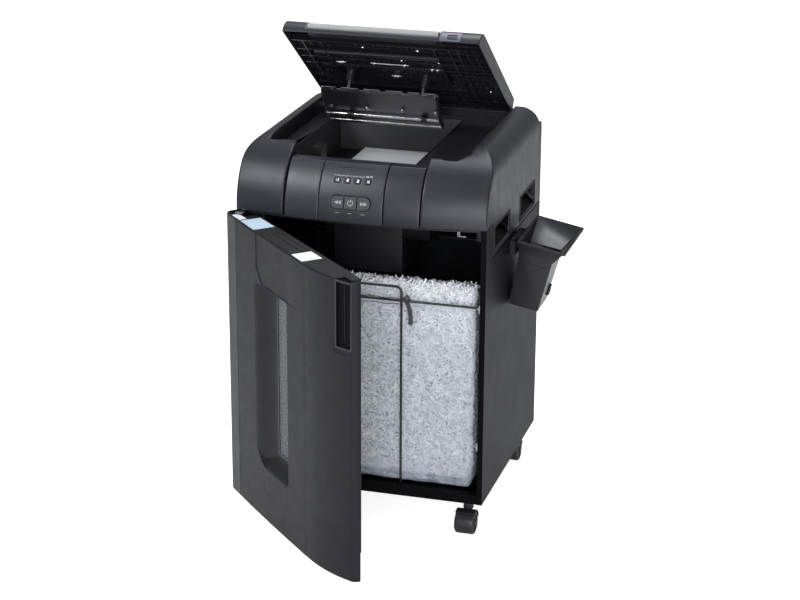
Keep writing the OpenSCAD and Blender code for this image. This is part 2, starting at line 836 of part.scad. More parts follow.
// A thin curved plate on the lip's right corner, with a small window
module lid_latch() {
    color("#b9b9bb") lid_place() difference() {
        across_x(latch_x0, latch_x1) intersection() {
            difference() {
                translate([-lid_len + lip_r, lid_top - lip_r]) circle(r = lip_r + latch_t);
                translate([-lid_len + lip_r, lid_top - lip_r]) circle(r = lip_r);
            }
            translate([-lid_len - 3, lid_rim + 2]) square([20, 24]);
        }
        block([latch_x0 + 16, -lid_len - 5, lid_rim + 6], [latch_x1 - 8, -lid_len + 12, lid_rim + 18]);
    }
}

post_xs = [-115, 52];
post_y = -197;
post_r = 4;
boss_r = 10;
plate_v = -50;
inner_v = 8;

// The black moulding inside the lid: a panel, ribs, and a boss round each post
module lid_inner() {
    color("#161618") lid_place() difference() {
        union() {
            block([lid_left + wall, -lid_len + notch_depth + 5, inner_v],
                  [lid_right - wall, lid_tail - wall, inner_v + 3]);
            for (y = [-346, -300, -264, -228, -120, -70, -30])
                block([lid_left + 8, y, lid_rim + 2], [lid_right - 8, y + 3, inner_v + 0.2]);
            for (x = [-190, -150, 96, 130, 148, 166, 184])
                block([x, -346, lid_rim + 2], [x + 3, lid_tail - wall - 6, inner_v + 0.2]);
            for (x = post_xs)
                translate([x, post_y, lid_rim]) cylinder(h = inner_v - lid_rim + 4, r = boss_r);
        }
        for (x = post_xs)
            translate([x, post_y, lid_rim - 1]) cylinder(h = 30, r = post_r + 0.05);
    }
}

module lid_posts() {
    color("silver") lid_place() for (x = post_xs)
        translate([x, post_y, plate_v]) cylinder(h = lid_rim + 12 - plate_v, r = post_r);
}

plate_x0 = -173;
plate_x1 = 84;
plate_front = -210;
plate_fold = -186;
plate_tip = -96;
plate_low = -87;
plate_t = 2;

// A folded steel plate that presses the sheets down: a flange, and a face sloping back
module pressure_plate() {
    color("#a5a5a9") lid_place() difference() {
        union() {
            across_x(plate_x0, plate_x1)
                polygon([[plate_front, plate_v], [plate_front, plate_v - plate_t],
                         [plate_fold, plate_v - plate_t], [plate_tip, plate_low],
                         [plate_tip, plate_low + plate_t + 1], [plate_fold + 2, plate_v]]);
            for (x = [plate_x0, plate_x1 - 2])
                across_x(x, x + 2)
                    polygon([[plate_front, plate_v], [plate_front, plate_v - 10], [-140, plate_low - 2],
                             [plate_tip, plate_low - 2], [plate_tip, plate_low + 6],
                             [plate_fold, plate_v]]);
        }
        for (x = [-140, -90, -40, 10, 48])
            block([x, plate_front - 1, plate_v - 3], [x + 12, plate_front + 9, plate_v + 1]);
    }
}

rod_specs = [[-131, -79.5, 3], [-112, -86, 2]];

module plate_rods() {
    color("#d5d5d8") lid_place() for (s = rod_specs)
        rod_x(plate_x0 + 2, plate_x1 - 2, s[0], s[1] - 1, s[2]);
}

// ---------------------------------------------------------------- door
pivot_x = -260;
pivot_d = -14;
door_z0 = -16;
door_z1 = 609;
door_front = 48;
door_back_left = 6;
door_back_right = 1.5;
flat_x = 110;
flat_r = 8700;
turn_x = 130;
turn_r = 330;
left_corner_r = 14;
left_corner_d = -26.3;
right_corner_r = 17;
right_corner_d = -5.8;
notch_z = 604.2;
liner_back = 20.5;
liner_top = 601;
window_x0 = -46;
window_x1 = 28;
window_z0 = 142;
window_z1 = 490;
scoop_x0 = -120;
scoop_x1 = 40;
scoop_z0 = 102;
scoop_z1 = 504;
scoop_d = -27;
scoop_r = 58;
handle_x0 = 224;
handle_x1 = half_w - 5;
handle_z0 = 468;

// Everything on the door is drawn closed and then swung open about its pins
module door_place() {
    translate([pivot_x, fy(pivot_d), 0]) rotate([0, 0, -door_open])
        translate([-pivot_x, -fy(pivot_d), 0]) children();
}

// The door seen from above: nearly flat, turning back towards its free edge, moved in by t
module door_plan(t) {
    back = t > 0 ? 20 : 0;
    intersection() {
        union() {
            intersection() {
                translate([flat_x, fy(-door_front) + flat_r]) circle(r = flat_r - t, $fn = 720);
                translate([-half_w + t, fy(-60)])
                    square([turn_x + half_w - t, 60 - door_back_left + back]);
            }
            intersection() {
                translate([turn_x, fy(-door_front) + turn_r]) circle(r = turn_r - t, $fn = 360);
                translate([turn_x - 1, fy(-60)])
                    square([half_w - t - turn_x + 1, 60 - door_back_right + back]);
            }
        }
        union() {
            translate([-half_w + left_corner_r, fy(-60)])
                square([cab_w - left_corner_r - right_corner_r, 100]);
            translate([-half_w + left_corner_r, fy(left_corner_d)]) circle(r = left_corner_r - t);
            translate([-half_w, fy(left_corner_d)]) square([left_corner_r + 1, 60]);
            translate([half_w - right_corner_r, fy(right_corner_d)]) circle(r = right_corner_r - t);
            translate([half_w - right_corner_r - 1, fy(right_corner_d)])
                square([right_corner_r + 1, 60]);
        }
    }
}

module door_slab(t, z0, z1) {
    translate([0, 0, hz(z0)]) linear_extrude(height = z1 - z0) door_plan(t);
}

// The hollow round the window, with its foot rounded
module scoop_form() {
    intersection() {
        translate([0, 0, hz(scoop_z0)]) linear_extrude(height = scoop_z1 - scoop_z0)
            polygon([[scoop_x0, fy(-60)], [scoop_x0, fy(-45)], [window_x0, fy(scoop_d)],
                     [window_x1, fy(scoop_d)], [scoop_x1, fy(-45)], [scoop_x1, fy(-60)]]);
        translate([0, 0, caster_h]) through_y(fy(-70), fy(0))
            polygon(concat([[scoop_x1, scoop_z1], [scoop_x0 + 24, scoop_z1], [scoop_x0, scoop_z1 - 12]],
                           arc(scoop_x0 + scoop_r, scoop_z0 + scoop_r, scoop_r, 180, 270, 8),
                           arc(scoop_x1 - 16, scoop_z0 + 16, 16, 270, 360, 5)));
    }
}

// The curved outer skin, with a sunk face round the window
module door_skin() {
    color("#4b4b50") door_place() difference() {
        union() {
            difference() {
                door_slab(0, door_z0, door_z1);
                door_slab(door_skin_t, door_z0 - 1, door_z1 + 1);
            }
            intersection() {
                door_slab(1, scoop_z0 - 8, scoop_z1 + 8);
                block([scoop_x0 - 8, fy(-60), hz(scoop_z0 - 8)],
                      [scoop_x1 + 8, fy(scoop_d + 4), hz(scoop_z1 + 8)]);
            }
        }
        scoop_form();
        block([window_x0, fy(-door_front - 2), hz(window_z0)], [window_x1, fy(0), hz(window_z1)]);
        block([handle_x0, fy(-door_front - 2), hz(handle_z0)], [handle_x1, fy(-10), hz(door_z1 + 1)]);
        block([-half_w - 1, fy(-32), hz(notch_z)], [pivot_x + 24, fy(0), hz(door_z1 + 1)]);
    }
}

// The inner tray of the door, with a raised rim and two hollow panels
module door_liner() {
    color("#202023") door_place() difference() {
        union() {
            intersection() {
                door_slab(door_skin_t + 0.2, door_z0 + 2, liner_top);
                block([-half_w, fy(-60), hz(door_z0)], [half_w, fy(-door_back_left), hz(door_z1)]);
            }
            block([-half_w + 28, fy(-door_back_left - 2), hz(rail_h + 4)],
                  [half_w - 17, fy(liner_back), hz(liner_top)]);
        }
        block([-half_w + 36, fy(-30), hz(rail_h + 14)],
              [scoop_x0 - 20, fy(liner_back + 1), hz(cab_h - 22)]);
        block([scoop_x1 + 20, fy(-30), hz(rail_h + 14)],
              [handle_x0 - 14, fy(liner_back + 1), hz(cab_h - 22)]);
        block([scoop_x0 - 8.2, fy(-60), hz(scoop_z0 - 8.2)],
              [scoop_x1 + 8.2, fy(scoop_d + 4.2), hz(scoop_z1 + 8.2)]);
        block([window_x0, fy(-door_front), hz(window_z0)],
              [window_x1, fy(liner_back + 1), hz(window_z1)]);
        block([handle_x0 - 1, fy(-door_front - 2), hz(handle_z0 - 1)],
              [half_w - 3, fy(-9.6), hz(door_z1 + 1)]);
        for (z = [hz(door_z0), hz(liner_top - 30)])
            translate([pivot_x, fy(pivot_d), z]) cylinder(h = 36, r = pin_r);
    }
}

module door_window() {
    color([0.8, 0.85, 0.9, 0.4]) door_place()
        block([window_x0, fy(scoop_d + 0.6), hz(window_z0)], [window_x1, fy(scoop_d + 3), hz(window_z1)]);
}

// The glossy black finger cup at the free edge
module door_handle() {
    color("#050506") door_place() difference() {
        intersection() {
            door_slab(0.6, handle_z0, door_z1 - 1);
            block([handle_x0 + 0.3, fy(-60), hz(handle_z0 + 0.3)],
                  [handle_x1 - 0.3, fy(-10.3), hz(door_z1 - 1)]);
        }
        block([handle_x0 + 4, fy(-60), hz(handle_z0 + 5)],
              [handle_x1 - 3, fy(-14), hz(door_z1 - 6)]);
    }
}

bracket_t = 3;
lower_pin_z = door_z0 - 3.5;
upper_bracket_z = notch_z + 0.5;

// Steel hinge pins, one below the door and one above it
module door_pins() {
    color("silver") door_place() union() {
        translate([pivot_x, fy(pivot_d), hz(lower_pin_z)])
            cylinder(h = door_z0 + 26 - lower_pin_z, r = pin_r);
        translate([pivot_x, fy(pivot_d), hz(liner_top - 30)])
            cylinder(h = cab_h - 0.5 - liner_top + 30, r = pin_r);
    }
}

// The cabinet's own ends of the two hinges, and two small catches on the right panel
module door_brackets() {
    color("#8a8a8e") union() {
        difference() {
            union() {
                block([pivot_x - 8, fy(pivot_d - 8), hz(lower_pin_z)],
                      [pivot_x + 10, fy(5), hz(lower_pin_z + bracket_t)]);
                block([pivot_x - 8, fy(1), hz(lower_pin_z)], [pivot_x + 10, fy(5), hz(0)]);
            }
            translate([pivot_x, fy(pivot_d), hz(lower_pin_z - 1)]) cylinder(h = 6, r = pin_r + 0.05);
        }
        difference() {
            union() {
                block([pivot_x - 5.6, fy(pivot_d - 6), hz(upper_bracket_z)],
                      [pivot_x + 12, fy(-2.6), hz(cab_h - 0.4)]);
                block([-half_w + panel_t, fy(-3), hz(upper_bracket_z)],
                      [pivot_x + 12, fy(5.6), hz(cab_h - 0.4)]);
            }
            translate([pivot_x, fy(pivot_d), hz(notch_z)]) cylinder(h = 8, r = pin_r + 0.05);
        }
        for (z = [131, 437])
            block([half_w - panel_t - 2.5, fy(2), hz(z - 9)], [half_w - panel_t, fy(16), hz(z + 9)]);
    }
}

// ---------------------------------------------------------------- bag, frame and shreds
bag_x0 = -250;
bag_x1 = 248;
bag_y0 = 30;
bag_y1 = 470;
bag_z0 = 30;
bag_z1 = 441;
bag_t = 3;
wire_r = 2.5;
frame_z = 433;
bow_x = 84;
bow_z = 463;
bow_corner = 12;
fill_t = 20;
crest_d = 48;
crest_z = 474;
fill_back_z = 322;

module shred_bag() {
    color("#d8d8d8") difference() {
        block([bag_x0, fy(bag_y0), hz(bag_z0)], [bag_x1, fy(bag_y1), hz(bag_z1)]);
        block([bag_x0 + bag_t, fy(bag_y0 + bag_t), hz(bag_z0 + bag_t)],
              [bag_x1 - bag_t, fy(bag_y1 - bag_t), hz(bag_z1 + 1)]);
    }
}

// Side section of the shreds: heaped at the front and falling away to the back, moved in by t
module fill_section(t) {
    low = hz(bag_z0 + bag_t) - (t > 0 ? 1 : 0);
    polygon([[fy(bag_y0 + bag_t + t), low], [fy(bag_y1 - bag_t - t), low],
             [fy(bag_y1 - bag_t - t), hz(fill_back_z - t)], [fy(crest_d + t / 2), hz(crest_z - t)],
             [fy(bag_y0 + bag_t + t), hz(crest_z - 14 - t)]]);
}

// A thick crust of shreds, hollow below so that it weighs what loose shreds would
module shred_fill() {
    color("#ececec") difference() {
        across_x(bag_x0 + bag_t, bag_x1 - bag_t) fill_section(0);
        across_x(bag_x0 + bag_t + fill_t, bag_x1 - bag_t - fill_t) fill_section(fill_t);
    }
}

// A wire hoop round the bag's mouth, a bow in front of it and two feet on the base
module bag_frame() {
    wire_d = bag_y0 - 6;
    color("#1a1a1c") union() {
        for (y = [fy(wire_d), fy(bag_y1 + 5)])
            rod_x(bag_x0 - 3, bag_x1 + 3, y, hz(frame_z), wire_r);
        for (x = [bag_x0 - 3, bag_x1 + 3]) {
            rod_y(fy(wire_d), fy(bag_y1 + 5), x, hz(frame_z), wire_r);
            for (y = [fy(wire_d), fy(bag_y1 + 5)])
                translate([x, y, hz(frame_z)]) sphere(r = wire_r);
        }
        rod_x(bow_corner - bow_x, bow_x - bow_corner, fy(wire_d), hz(bow_z), wire_r);
        for (s = [-1, 1]) {
            translate([s * bow_x, fy(wire_d), hz(base_t + wire_r)])
                cylinder(h = bow_z - bow_corner - base_t - wire_r, r = wire_r);
            translate([s * (bow_x - bow_corner), fy(wire_d), hz(bow_z - bow_corner)])
                rotate([90, s > 0 ? 0 : -90, 0]) rotate_extrude(angle = 90)
                    translate([bow_corner, 0]) circle(r = wire_r);
            rod_y(fy(wire_d), fy(bag_y1), s * bow_x, hz(base_t + wire_r), wire_r);
            translate([s * bow_x, fy(wire_d), hz(base_t + wire_r)]) sphere(r = wire_r);
        }
    }
}

// ---------------------------------------------------------------- disc bin
bin_tilt = 11;
bin_foot_x = 274;
bin_foot_z = 387;
bin_wall = 2.5;
tub_front = 200;
tub_low = [-2, 63, 288];
tub_high = [-4, 70, 305];
tub_h = 112;
rim_front = 190;
rim_high = [-11, 93, 380];
rim_h = 147;
rim_t = 6;
hook_x0 = 274;
hook_y0 = 212;
hook_len = 72;
hook_z0 = 499;
hook_z1 = 532.5;
pocket_gap = 0.6;

module bin_place() {
    translate([bin_foot_x, 0, hz(bin_foot_z)]) rotate([0, bin_tilt, 0]) children();
}

// A thin level slice of the bin; size gives its left side, right side and back
module bin_slice(size, front, z, t) {
    block([size[0] + t, fy(front + t), z - 0.1], [size[1] - t, fy(size[2] - t), z + 0.1]);
}

// The bin's outer form, moved in by t: a tapered tub under a flared mouth that reaches back
module bin_form(t) {
    union() {
        hull() {
            bin_slice(tub_low, tub_front, t + 0.1, t);
            bin_slice(tub_high, tub_front, tub_h, t);
        }
        hull() {
            bin_slice(tub_high, tub_front, tub_h, t);
            bin_slice(rim_high, rim_front, rim_h + (t > 0 ? 1 : 0), t);
        }
    }
}

// A bin with a tongue that drops into a pocket on the cabinet's side
module disc_bin() {
    color("#101012") union() {
        bin_place() difference() {
            union() {
                bin_form(0);
                block([rim_high[0] - 1.5, fy(rim_front - 2), rim_h - rim_t],
                      [rim_high[1] + 2, fy(rim_high[2] + 2), rim_h]);
            }
            bin_form(bin_wall);
        }
        block([hook_x0, fy(hook_y0), hz(hook_z0)], [hook_x0 + 6, fy(hook_y0 + hook_len), hz(hook_z1)]);
        block([hook_x0, fy(hook_y0), hz(hook_z1 - 4)],
              [bin_foot_x + 19.5, fy(hook_y0 + hook_len), hz(hook_z1)]);
    }
}

// The pocket on the cabinet's side that holds the bin's tongue
module bin_bracket() {
    color("#151517") difference() {
        block([half_w, fy(hook_y0 - 6), hz(hook_z0 - 4)],
              [hook_x0 + 8.8, fy(hook_y0 + hook_len + 6), hz(hook_z1 - 8)]);
        block([hook_x0 - pocket_gap, fy(hook_y0 - pocket_gap), hz(hook_z0 - 0.5)],
              [hook_x0 + 6 + pocket_gap, fy(hook_y0 + hook_len + pocket_gap), hz(hook_z1)]);
    }
}

// ---------------------------------------------------------------- casters
trail = 20;
wheel_w = 17;
wheel_r = wheel_d / 2;
axle_r = 4;
hood_gap = 1.5;
hood_t = 2;
hub_z = 58;
boss_z = 50;

// Caster with its stem on the Z axis, its wheels trailing towards -Y
module caster(x, d) {
    translate([x, fy(d), 0]) color("#3a3a3d") union() {
        translate([0, 0, hub_z]) cylinder(h = caster_h + stem_up - 0.5 - hub_z, r = stem_r);
        translate([0, 0, boss_z]) cylinder(h = caster_h - 1 - boss_z, r = 11);
        difference() {
            rod_x(-wheel_w - 4, wheel_w + 4, -trail, wheel_r, wheel_r + hood_gap + hood_t);
            rod_x(-wheel_w - 5, wheel_w + 5, -trail, wheel_r, wheel_r + hood_gap);
            block([-30, -trail - 60, -20], [30, -trail + 60, wheel_r + 4]);
            block([-30, -trail - 60, -20], [30, -trail - 12, wheel_r + 40]);
        }
        difference() {
            rod_x(-3.4, 3.4, -trail, wheel_r, wheel_r + hood_gap + 0.5);
            block([-6, -trail - 60, -20], [6, 60, wheel_r - 9]);
        }
        block([-3.4, -trail + 6, wheel_r + 4], [3.4, 8, 52]);
        rod_x(-wheel_w - 5, wheel_w + 5, -trail, wheel_r, axle_r);
    }
}

module wheel_pair(x, d) {
    translate([x, fy(d), 0]) color("#26262a") for (s = [-1, 1]) difference() {
        union() {
            rod_x(s > 0 ? 4.2 : -4.2 - wheel_w, s > 0 ? 4.2 + wheel_w : -4.2, -trail, wheel_r, wheel_r - 2);
            rod_x(s > 0 ? 6 : -2.4 - wheel_w, s > 0 ? 2.4 + wheel_w : -6, -trail, wheel_r, wheel_r);
        }
        rod_x(s > 0 ? 0 : -wheel_w - 4.3, s > 0 ? wheel_w + 4.3 : 0, -trail, wheel_r, axle_r + 0.05);
    }
}

module caster_front_left() {
    caster(-caster_x, caster_front_d);
}

module caster_front_right() {
    caster(caster_x, caster_front_d);
}

module caster_rear_left() {
    caster(-caster_x, caster_rear_d);
}

module caster_rear_right() {
    caster(caster_x, caster_rear_d);
}

module wheels_front_left() {
    wheel_pair(-caster_x, caster_front_d);
}

module wheels_front_right() {
    wheel_pair(caster_x, caster_front_d);
}

module wheels_rear_left() {
    wheel_pair(-caster_x, caster_rear_d);
}

module wheels_rear_right() {
    wheel_pair(caster_x, caster_rear_d);
}

// ---------------------------------------------------------------- screws
screw_r = 3.5;
screw_len = 8;
screw_xs = [-240, 0, 240];
screw_zs = [30, 260, 500];

// Screws that sit flush in the back panel
module panel_screws() {
    color("silver") for (x = screw_xs, z = screw_zs)
        rod_y(fy(cab_d - screw_len), fy(cab_d), x, hz(z), screw_r);
}

side_panel_left();
side_panel_right();
back_panel();
base_panel();
front_rail();
head_base();
shred_chute();
cheek_left();
cheek_right();
rear_cover();
front_panel_left();
control_panel();
front_panel_right();
feed_deck();
paper_tray();
paper_stack();
paper_guide();
feed_roller();
feed_tyres();
cutter_frame();
cutter_front();
cutter_rear();
gear_front();
gear_rear();
motor_pinion();
motor();
circuit_board();
power_inlet();
power_switch();
button_reverse();
button_power();
button_forward();
indicator_lamps();
lid_shell();
lid_inner();
lid_rail();
lid_latch();
lid_posts();
pressure_plate();
plate_rods();
door_skin();
door_liner();
door_window();
door_handle();
door_pins();
bag_frame();
shred_bag();
shred_fill();
disc_bin();
bin_bracket();
caster_front_left();
caster_front_right();
caster_rear_left();
caster_rear_right();
wheels_front_left();
wheels_front_right();
wheels_rear_left();
wheels_rear_right();
panel_screws();
door_brackets();
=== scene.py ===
"""Looks of the auto-feed paper shredder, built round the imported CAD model.

Lengths inside the functions are in millimetres in the object's own grid: x from the middle,
d back from the front edges of the side panels, h up from the cabinet's underside.
"""

import json
import math
import random

import bmesh
import bpy
from mathutils import Matrix, Vector, noise

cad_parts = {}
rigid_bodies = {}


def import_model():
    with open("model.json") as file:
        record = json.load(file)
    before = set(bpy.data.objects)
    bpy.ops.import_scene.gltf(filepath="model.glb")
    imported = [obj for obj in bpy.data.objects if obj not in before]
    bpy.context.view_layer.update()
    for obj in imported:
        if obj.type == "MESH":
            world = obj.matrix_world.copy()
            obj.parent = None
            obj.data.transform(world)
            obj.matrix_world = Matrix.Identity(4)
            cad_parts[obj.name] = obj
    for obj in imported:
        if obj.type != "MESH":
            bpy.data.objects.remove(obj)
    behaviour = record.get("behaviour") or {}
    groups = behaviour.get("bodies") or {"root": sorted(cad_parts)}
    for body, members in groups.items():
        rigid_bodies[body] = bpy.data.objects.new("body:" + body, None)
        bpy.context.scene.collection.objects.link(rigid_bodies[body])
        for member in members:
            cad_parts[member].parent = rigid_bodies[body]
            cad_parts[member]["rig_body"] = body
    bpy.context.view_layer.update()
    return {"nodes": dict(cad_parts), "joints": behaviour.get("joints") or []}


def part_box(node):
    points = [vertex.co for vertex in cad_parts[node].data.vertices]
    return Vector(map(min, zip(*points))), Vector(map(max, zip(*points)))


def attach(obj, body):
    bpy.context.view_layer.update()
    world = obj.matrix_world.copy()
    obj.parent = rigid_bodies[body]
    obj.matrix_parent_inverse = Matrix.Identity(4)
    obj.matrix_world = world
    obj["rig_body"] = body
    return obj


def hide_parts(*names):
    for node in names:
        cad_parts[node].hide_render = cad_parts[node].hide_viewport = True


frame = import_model()

MM = 0.001
FRONT_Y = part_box("side_panel_right")[0].y
BASE_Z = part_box("side_panel_right")[0].z
HALF_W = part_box("side_panel_right")[1].x / MM


# ------------------------------------------------------------------ places
def at(x, d, h):
    """A point of the grid, in metres."""
    return Vector((x * MM, FRONT_Y + d * MM, BASE_Z + h * MM))


def joint(name):
    return next(j for j in frame["joints"] if j["name"] == name)


def from_closed(name):
    """The turn that takes a piece drawn at the joint's far limit to where it rests."""
    j = joint(name)
    pos = Vector(j["pos_m"])
    turn = Matrix.Rotation(-math.radians(j["range_deg"][1]), 4, Vector(j["axis"]))
    return Matrix.Translation(pos) @ turn @ Matrix.Translation(-pos)


LID = from_closed("lid_hinge")
DOOR = from_closed("door_hinge")
HINGE = Vector(joint("lid_hinge")["pos_m"])


def on_lid(x, u, v):
    """A point on the shut lid: u forward from the hinge, v up from it."""
    return Vector((x * MM, HINGE.y - u * MM, HINGE.z + v * MM))


# ------------------------------------------------------------------ materials
def grey(v):
    return (v, v, v, 1.0)


def tint(colour, factor):
    return tuple(min(1.0, c * factor) for c in colour[:3]) + (1.0,)


class Shader:
    """A material in the making: its nodes, its links and the inputs of its surface."""

    def __init__(self, name):
        self.mat = bpy.data.materials.new(name)
        self.mat.use_nodes = True
        self.nodes, self.links = self.mat.node_tree.nodes, self.mat.node_tree.links
        self.surface = self.nodes["Principled BSDF"].inputs

    def wire(self, socket, source):
        """Links a source to a socket, or sets the socket to a plain value."""
        if isinstance(source, bpy.types.NodeSocket):
            self.links.new(source, socket)
        else:
            socket.default_value = source

    def feed(self, **sources):
        """Wires the surface's inputs, named with _ for each space."""
        for name, source in sources.items():
            self.wire(self.surface[name.replace("_", " ")], source)

    def node(self, kind, **sources):
        node = self.nodes.new("ShaderNode" + kind)
        for name, source in sources.items():
            self.wire(node.inputs[name.replace("_", " ")], source)
        return node

    def place(self):
        """The object's own coordinates, which are metres."""
        return self.node("TexCoord").outputs["Object"]

    def noise(self, scale, **sources):
        return self.node("TexNoise", Vector=self.place(), Scale=scale, **sources).outputs["Fac"]

    def ramp(self, source, *stops):
        node = self.node("ValToRGB", Fac=source)
        while len(node.color_ramp.elements) < len(stops):
            node.color_ramp.elements.new(0.5)
        for element, (place, value) in zip(node.color_ramp.elements, stops):
            element.position, element.color = place, value
        return node.outputs["Color"]

    def mix(self, kind, factor, first, second):
        node = self.node("MixRGB", Fac=factor, Color1=first, Color2=second)
        node.blend_type = kind
        return node.outputs["Color"]

    def sum_of(self, factor, value, more, clamp=False):
        """factor * value + more."""
        node = self.nodes.new("ShaderNodeMath")
        node.operation, node.use_clamp = "MULTIPLY_ADD", clamp
        for socket, source in zip(node.inputs, (factor, value, more)):
            self.wire(socket, source)
        return node.outputs["Value"]

    def bump(self, height, strength, distance):
        node = self.node("Bump", Height=height, Strength=strength, Distance=distance)
        self.feed(Normal=node.outputs["Normal"])


def moulded(name, colour, rough=0.45, grain=0.00004, grain_scale=1500.0, wear=0.25, specular=0.5):
    """Injection-moulded plastic: fine spark-eroded grain, faint shade changes, paler edges."""
    s = Shader(name)
    cloud = s.noise(9.0, Detail=5.0, Roughness=0.6)
    shade = s.ramp(cloud, (0.3, tint(colour, 0.88)), (0.7, tint(colour, 1.1)))
    edge = s.ramp(s.node("NewGeometry").outputs["Pointiness"], (0.5, grey(0.0)), (0.6, grey(wear)))
    smear = s.noise(30.0, Detail=6.0, Roughness=0.7)
    s.feed(Base_Color=s.mix("MIX", edge, shade, tint(colour, 1.9)), Specular_IOR_Level=specular,
           Roughness=s.ramp(smear, (0.3, grey(rough - 0.05)), (0.75, grey(rough + 0.07))))
    s.bump(s.noise(grain_scale, Detail=2.0, Roughness=0.55), 0.6, grain)
    return s.mat


def brushed(name, colour, rough=0.3):
    """Metal with fine brush lines along one axis."""
    s = Shader(name)
    stretched = s.node("Mapping", Vector=s.place(), Scale=(1.0, 60.0, 60.0)).outputs["Vector"]
    lines = s.node("TexNoise", Vector=stretched, Scale=40.0, Detail=8.0).outputs["Fac"]
    s.feed(Metallic=1.0, Base_Color=s.ramp(lines, (0.35, tint(colour, 0.8)), (0.65, tint(colour, 1.1))),
           Roughness=s.ramp(lines, (0.3, grey(rough - 0.08)), (0.7, grey(rough + 0.1))))
    s.bump(lines, 0.25, 0.00006)
    return s.mat


def laminate(name, colour, specular=0.2):
    """Black laminated board: a faint pebble grain with long, soft shade changes."""
    s = Shader(name)
    cloud = s.noise(3.5, Detail=6.0, Roughness=0.6)
    smear = s.noise(14.0, Detail=5.0, Roughness=0.65)
    s.feed(Base_Color=s.ramp(cloud, (0.3, tint(colour, 0.92)), (0.7, tint(colour, 1.08))),
           Roughness=s.ramp(smear, (0.3, grey(0.50)), (0.7, grey(0.56))), Specular_IOR_Level=specular)
    s.bump(s.node("TexVoronoi", Vector=s.place(), Scale=650.0).outputs["Distance"], 0.35, 0.00008)
    return s.mat


def paper(name, colour, per_piece=0.12):
    """Paper: matt, with fine fibre, each separate strip a slightly different shade."""
    s = Shader(name)
    shade = s.ramp(s.node("NewGeometry").outputs["Random Per Island"], (0.0, tint(colour, 1.0 - per_piece)),
                   (0.6, tint(colour, 1.0)), (1.0, tint(colour, 1.05)))
    fibre = s.noise(900.0, Detail=4.0, Roughness=0.7)
    tone = s.ramp(fibre, (0.3, grey(0.93)), (0.7, grey(1.0)))
    s.feed(Base_Color=s.mix("MULTIPLY", 1.0, shade, tone), Roughness=0.85, Specular_IOR_Level=0.25)
    s.bump(fibre, 0.3, 0.00005)
    return s.mat


def film(name, colour, alpha):
    """Thin clear plastic film: crinkles that catch the light, denser where it is folded low down."""
    s = Shader(name)
    crinkle = s.noise(26.0, Detail=7.0, Roughness=0.62, Distortion=1.6)
    cover = s.ramp(crinkle, (0.32, grey(alpha * 0.45)), (0.52, grey(alpha)), (0.7, grey(alpha * 2.0)))
    height = s.node("SeparateXYZ", Vector=s.place()).outputs["Z"]
    fold = s.node("MapRange", Value=height, From_Min=BASE_Z + 0.03, From_Max=BASE_Z + 0.075,
                  To_Min=0.9, To_Max=0.0).outputs["Result"]
    s.feed(Alpha=s.sum_of(fold, crinkle, cover, clamp=True), Base_Color=(*colour, 1.0),
           Specular_IOR_Level=min(0.4, alpha * 2.0),
           Roughness=s.ramp(crinkle, (0.3, grey(0.24)), (0.7, grey(0.42))))
    s.bump(crinkle, 0.8, 0.006)
    return s.mat


def clear(name, colour, alpha):
    """A clear moulded pane, faintly scuffed."""
    s = Shader(name)
    scuff = s.noise(120.0, Detail=8.0, Roughness=0.75)
    s.feed(Base_Color=(*colour, 1.0), Alpha=alpha,
           Roughness=s.ramp(scuff, (0.4, grey(0.06)), (0.75, grey(0.2))))
    return s.mat


def glow(name, colour, strength):
    """A printed mark given a faint glow, painted light that makes it read brighter than its surface."""
    s = Shader(name)
    speck = s.noise(2500.0, Detail=2.0)
    s.feed(Base_Color=s.ramp(speck, (0.3, tint(colour, 0.85)), (0.7, tint(colour, 1.0))), Roughness=0.5,
           Emission_Color=(*colour, 1.0), Emission_Strength=strength)
    return s.mat
